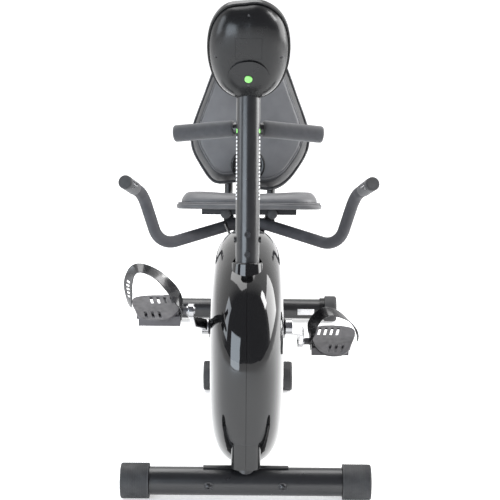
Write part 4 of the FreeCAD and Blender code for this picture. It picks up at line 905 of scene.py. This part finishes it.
SEAT_TUBE_X = 0.061
PLUG_DEPTH = 0.006
SEAT_TUBE_START = (0.022, -0.0124)
PLUG_PROFILE = ((-0.0060, 0.0128), (0.0, 0.0130), (0.0016, 0.0124), (0.0026, 0.0110), (0.0032, 0.0060))


def tube_plugs():
    """A domed plastic cap on the front end of each tube under the seat."""
    for side, label in ((1, "left"), (-1, "right")):
        start = on_seat(SEAT_TUBE_X * side, *SEAT_TUBE_START)
        profile = [(distance + PLUG_DEPTH, radius) for distance, radius in PLUG_PROFILE]
        turned(f"tube_plug_{label}", start + SEAT_BACKWARD * PLUG_DEPTH, start, profile, "rubber", "seat")


CONSOLE_TILT = math.radians(24.0)
CONSOLE_CENTRE = Vector((0, -0.505, 0.931))
CONSOLE_UP = Vector((0, -math.sin(CONSOLE_TILT), math.cos(CONSOLE_TILT)))
CONSOLE_OUT = Vector((0, math.cos(CONSOLE_TILT), math.sin(CONSOLE_TILT)))
SCREEN_UP = 0.026
SCREEN_OUT = 0.0130


def on_console(across, up, out):
    return CONSOLE_CENTRE + Vector((across, 0, 0)) + CONSOLE_UP * up + CONSOLE_OUT * out


def console_plate(name, half_x, half_up, corner, out, finish):
    """A thin plate with rounded corners, laid on the console's window."""
    points = []
    for sign_x, sign_up, first in ((1, 1, 0), (-1, 1, 90), (-1, -1, 180), (1, -1, 270)):
        for step in range(7):
            angle = math.radians(first + 15 * step)
            across = sign_x * (half_x - corner) + corner * math.cos(angle)
            up = SCREEN_UP + sign_up * (half_up - corner) + corner * math.sin(angle)
            points.append(on_console(across, up, out))
    plate = add_mesh(name, points, [tuple(range(len(points)))], finish, "frame", smooth=False)
    modifier(plate, "SOLIDIFY", thickness=0.0003, offset=0.0)
    apply_modifiers(plate)
    return plate


def display():
    """The console's display: a grey-green panel with a plain white line round it, and no lettering."""
    console_plate("display_line", 0.0500, 0.0300, 0.006, SCREEN_OUT + 0.0002, "label_film")
    console_plate("display_frame", 0.0490, 0.0290, 0.005, SCREEN_OUT + 0.0004, "screen")
    console_plate("display_panel", 0.0430, 0.0230, 0.003, SCREEN_OUT + 0.0006, "display_panel")


# Stage, light and camera


def stage():
    """A wide pale floor."""
    half = 30.0
    mesh = bpy.data.meshes.new("floor")
    corners = [(-half, -half, 0), (half, -half, 0), (half, half, 0), (-half, half, 0)]
    mesh.from_pydata(corners, [], [(0, 1, 2, 3)])
    finish = Finish("floor", 0.9)
    finish.colour(finish.noise(0.6, 2.0), (0.90, 0.90, 0.90), (0.92, 0.92, 0.92))
    finish.shader.inputs["Emission Color"].default_value = (1, 1, 1, 1)
    finish.shader.inputs["Emission Strength"].default_value = 0.50
    mesh.materials.append(finish.material)
    floor = bpy.data.objects.new("floor", mesh)
    bpy.context.scene.collection.objects.link(floor)


def studio_walls():
    """A white surround with a darker side behind the camera, which glossy shells reflect."""
    world = bpy.data.worlds.new("studio")
    world.use_nodes = True
    tree = world.node_tree
    background = tree.nodes["Background"]
    place = tree.nodes.new("ShaderNodeTexCoord")
    split = tree.nodes.new("ShaderNodeSeparateXYZ")
    ramp = tree.nodes.new("ShaderNodeValToRGB")
    ramp.color_ramp.elements[0].position = 0.40
    ramp.color_ramp.elements[0].color = (0.20, 0.20, 0.22, 1)
    ramp.color_ramp.elements[1].position = 0.58
    ramp.color_ramp.elements[1].color = (1, 1, 1, 1)
    shift = tree.nodes.new("ShaderNodeMapRange")
    shift.inputs["From Min"].default_value = -1.0
    shift.inputs["From Max"].default_value = 1.0
    tree.links.new(place.outputs["Generated"], split.inputs["Vector"])
    tree.links.new(split.outputs["Y"], shift.inputs["Value"])
    tree.links.new(shift.outputs["Result"], ramp.inputs["Fac"])
    tree.links.new(ramp.outputs["Color"], background.inputs["Color"])
    background.inputs["Strength"].default_value = 1.1
    bpy.context.scene.world = world


def softbox(name, place, aim, width, height, power, colour=(1, 1, 1)):
    light = bpy.data.lights.new(name, "AREA")
    light.shape = "RECTANGLE"
    light.size = width
    light.size_y = height
    light.energy = power
    light.color = colour
    box = bpy.data.objects.new(name, light)
    box.location = place
    box.rotation_euler = (Vector(aim) - Vector(place)).to_track_quat("-Z", "Y").to_euler()
    bpy.context.scene.collection.objects.link(box)


def lights():
    """A white wall on the right, tall windows in front and on both sides, and a softbox above the seat."""
    shell = (0, -0.64, 0.42)
    post = (0, -0.55, 0.65)
    softbox("right_wall", (2.7, 0.35, 1.35), post, 2.1, 2.0, 80)
    softbox("right_window", (2.25, -0.65, 2.5), shell, 0.6, 1.2, 38)
    softbox("front_window", (-1.55, -3.0, 0.76), shell, 1.95, 1.45, 55, (0.80, 0.90, 1.0))
    softbox("left_window", (-2.5, -0.9, 1.5), post, 1.0, 1.8, 24, (0.86, 0.93, 1.0))
    softbox("overhead", (-0.4, 0.7, 3.2), (0, 0.3, 0.5), 2.4, 2.4, 70)


def camera():
    data = bpy.data.cameras.new("camera")
    data.sensor_width = SENSOR_WIDTH
    data.lens = CAMERA_LENS
    view = bpy.data.objects.new("camera", data)
    aim = (
        Matrix.Rotation(CAMERA_YAW, 4, "Z")
        @ Matrix.Rotation(math.pi / 2 - CAMERA_PITCH, 4, "X")
        @ Matrix.Rotation(CAMERA_ROLL, 4, "Z")
    )
    view.matrix_world = Matrix.Translation(CAMERA_PLACE) @ aim
    bpy.context.scene.collection.objects.link(view)
    bpy.context.scene.camera = view


camera()
studio_walls()
lights()
stage()
dress_nodes()
seat_cushion()
seat_piping()
back_cushion()
foam_grips()
for pedal_side in (-1, 1):
    pedal_strap(pedal_side)
tube_plugs()
display()
post_marks()
rear_label()
bpy.context.scene.view_settings.view_transform = "Standard"
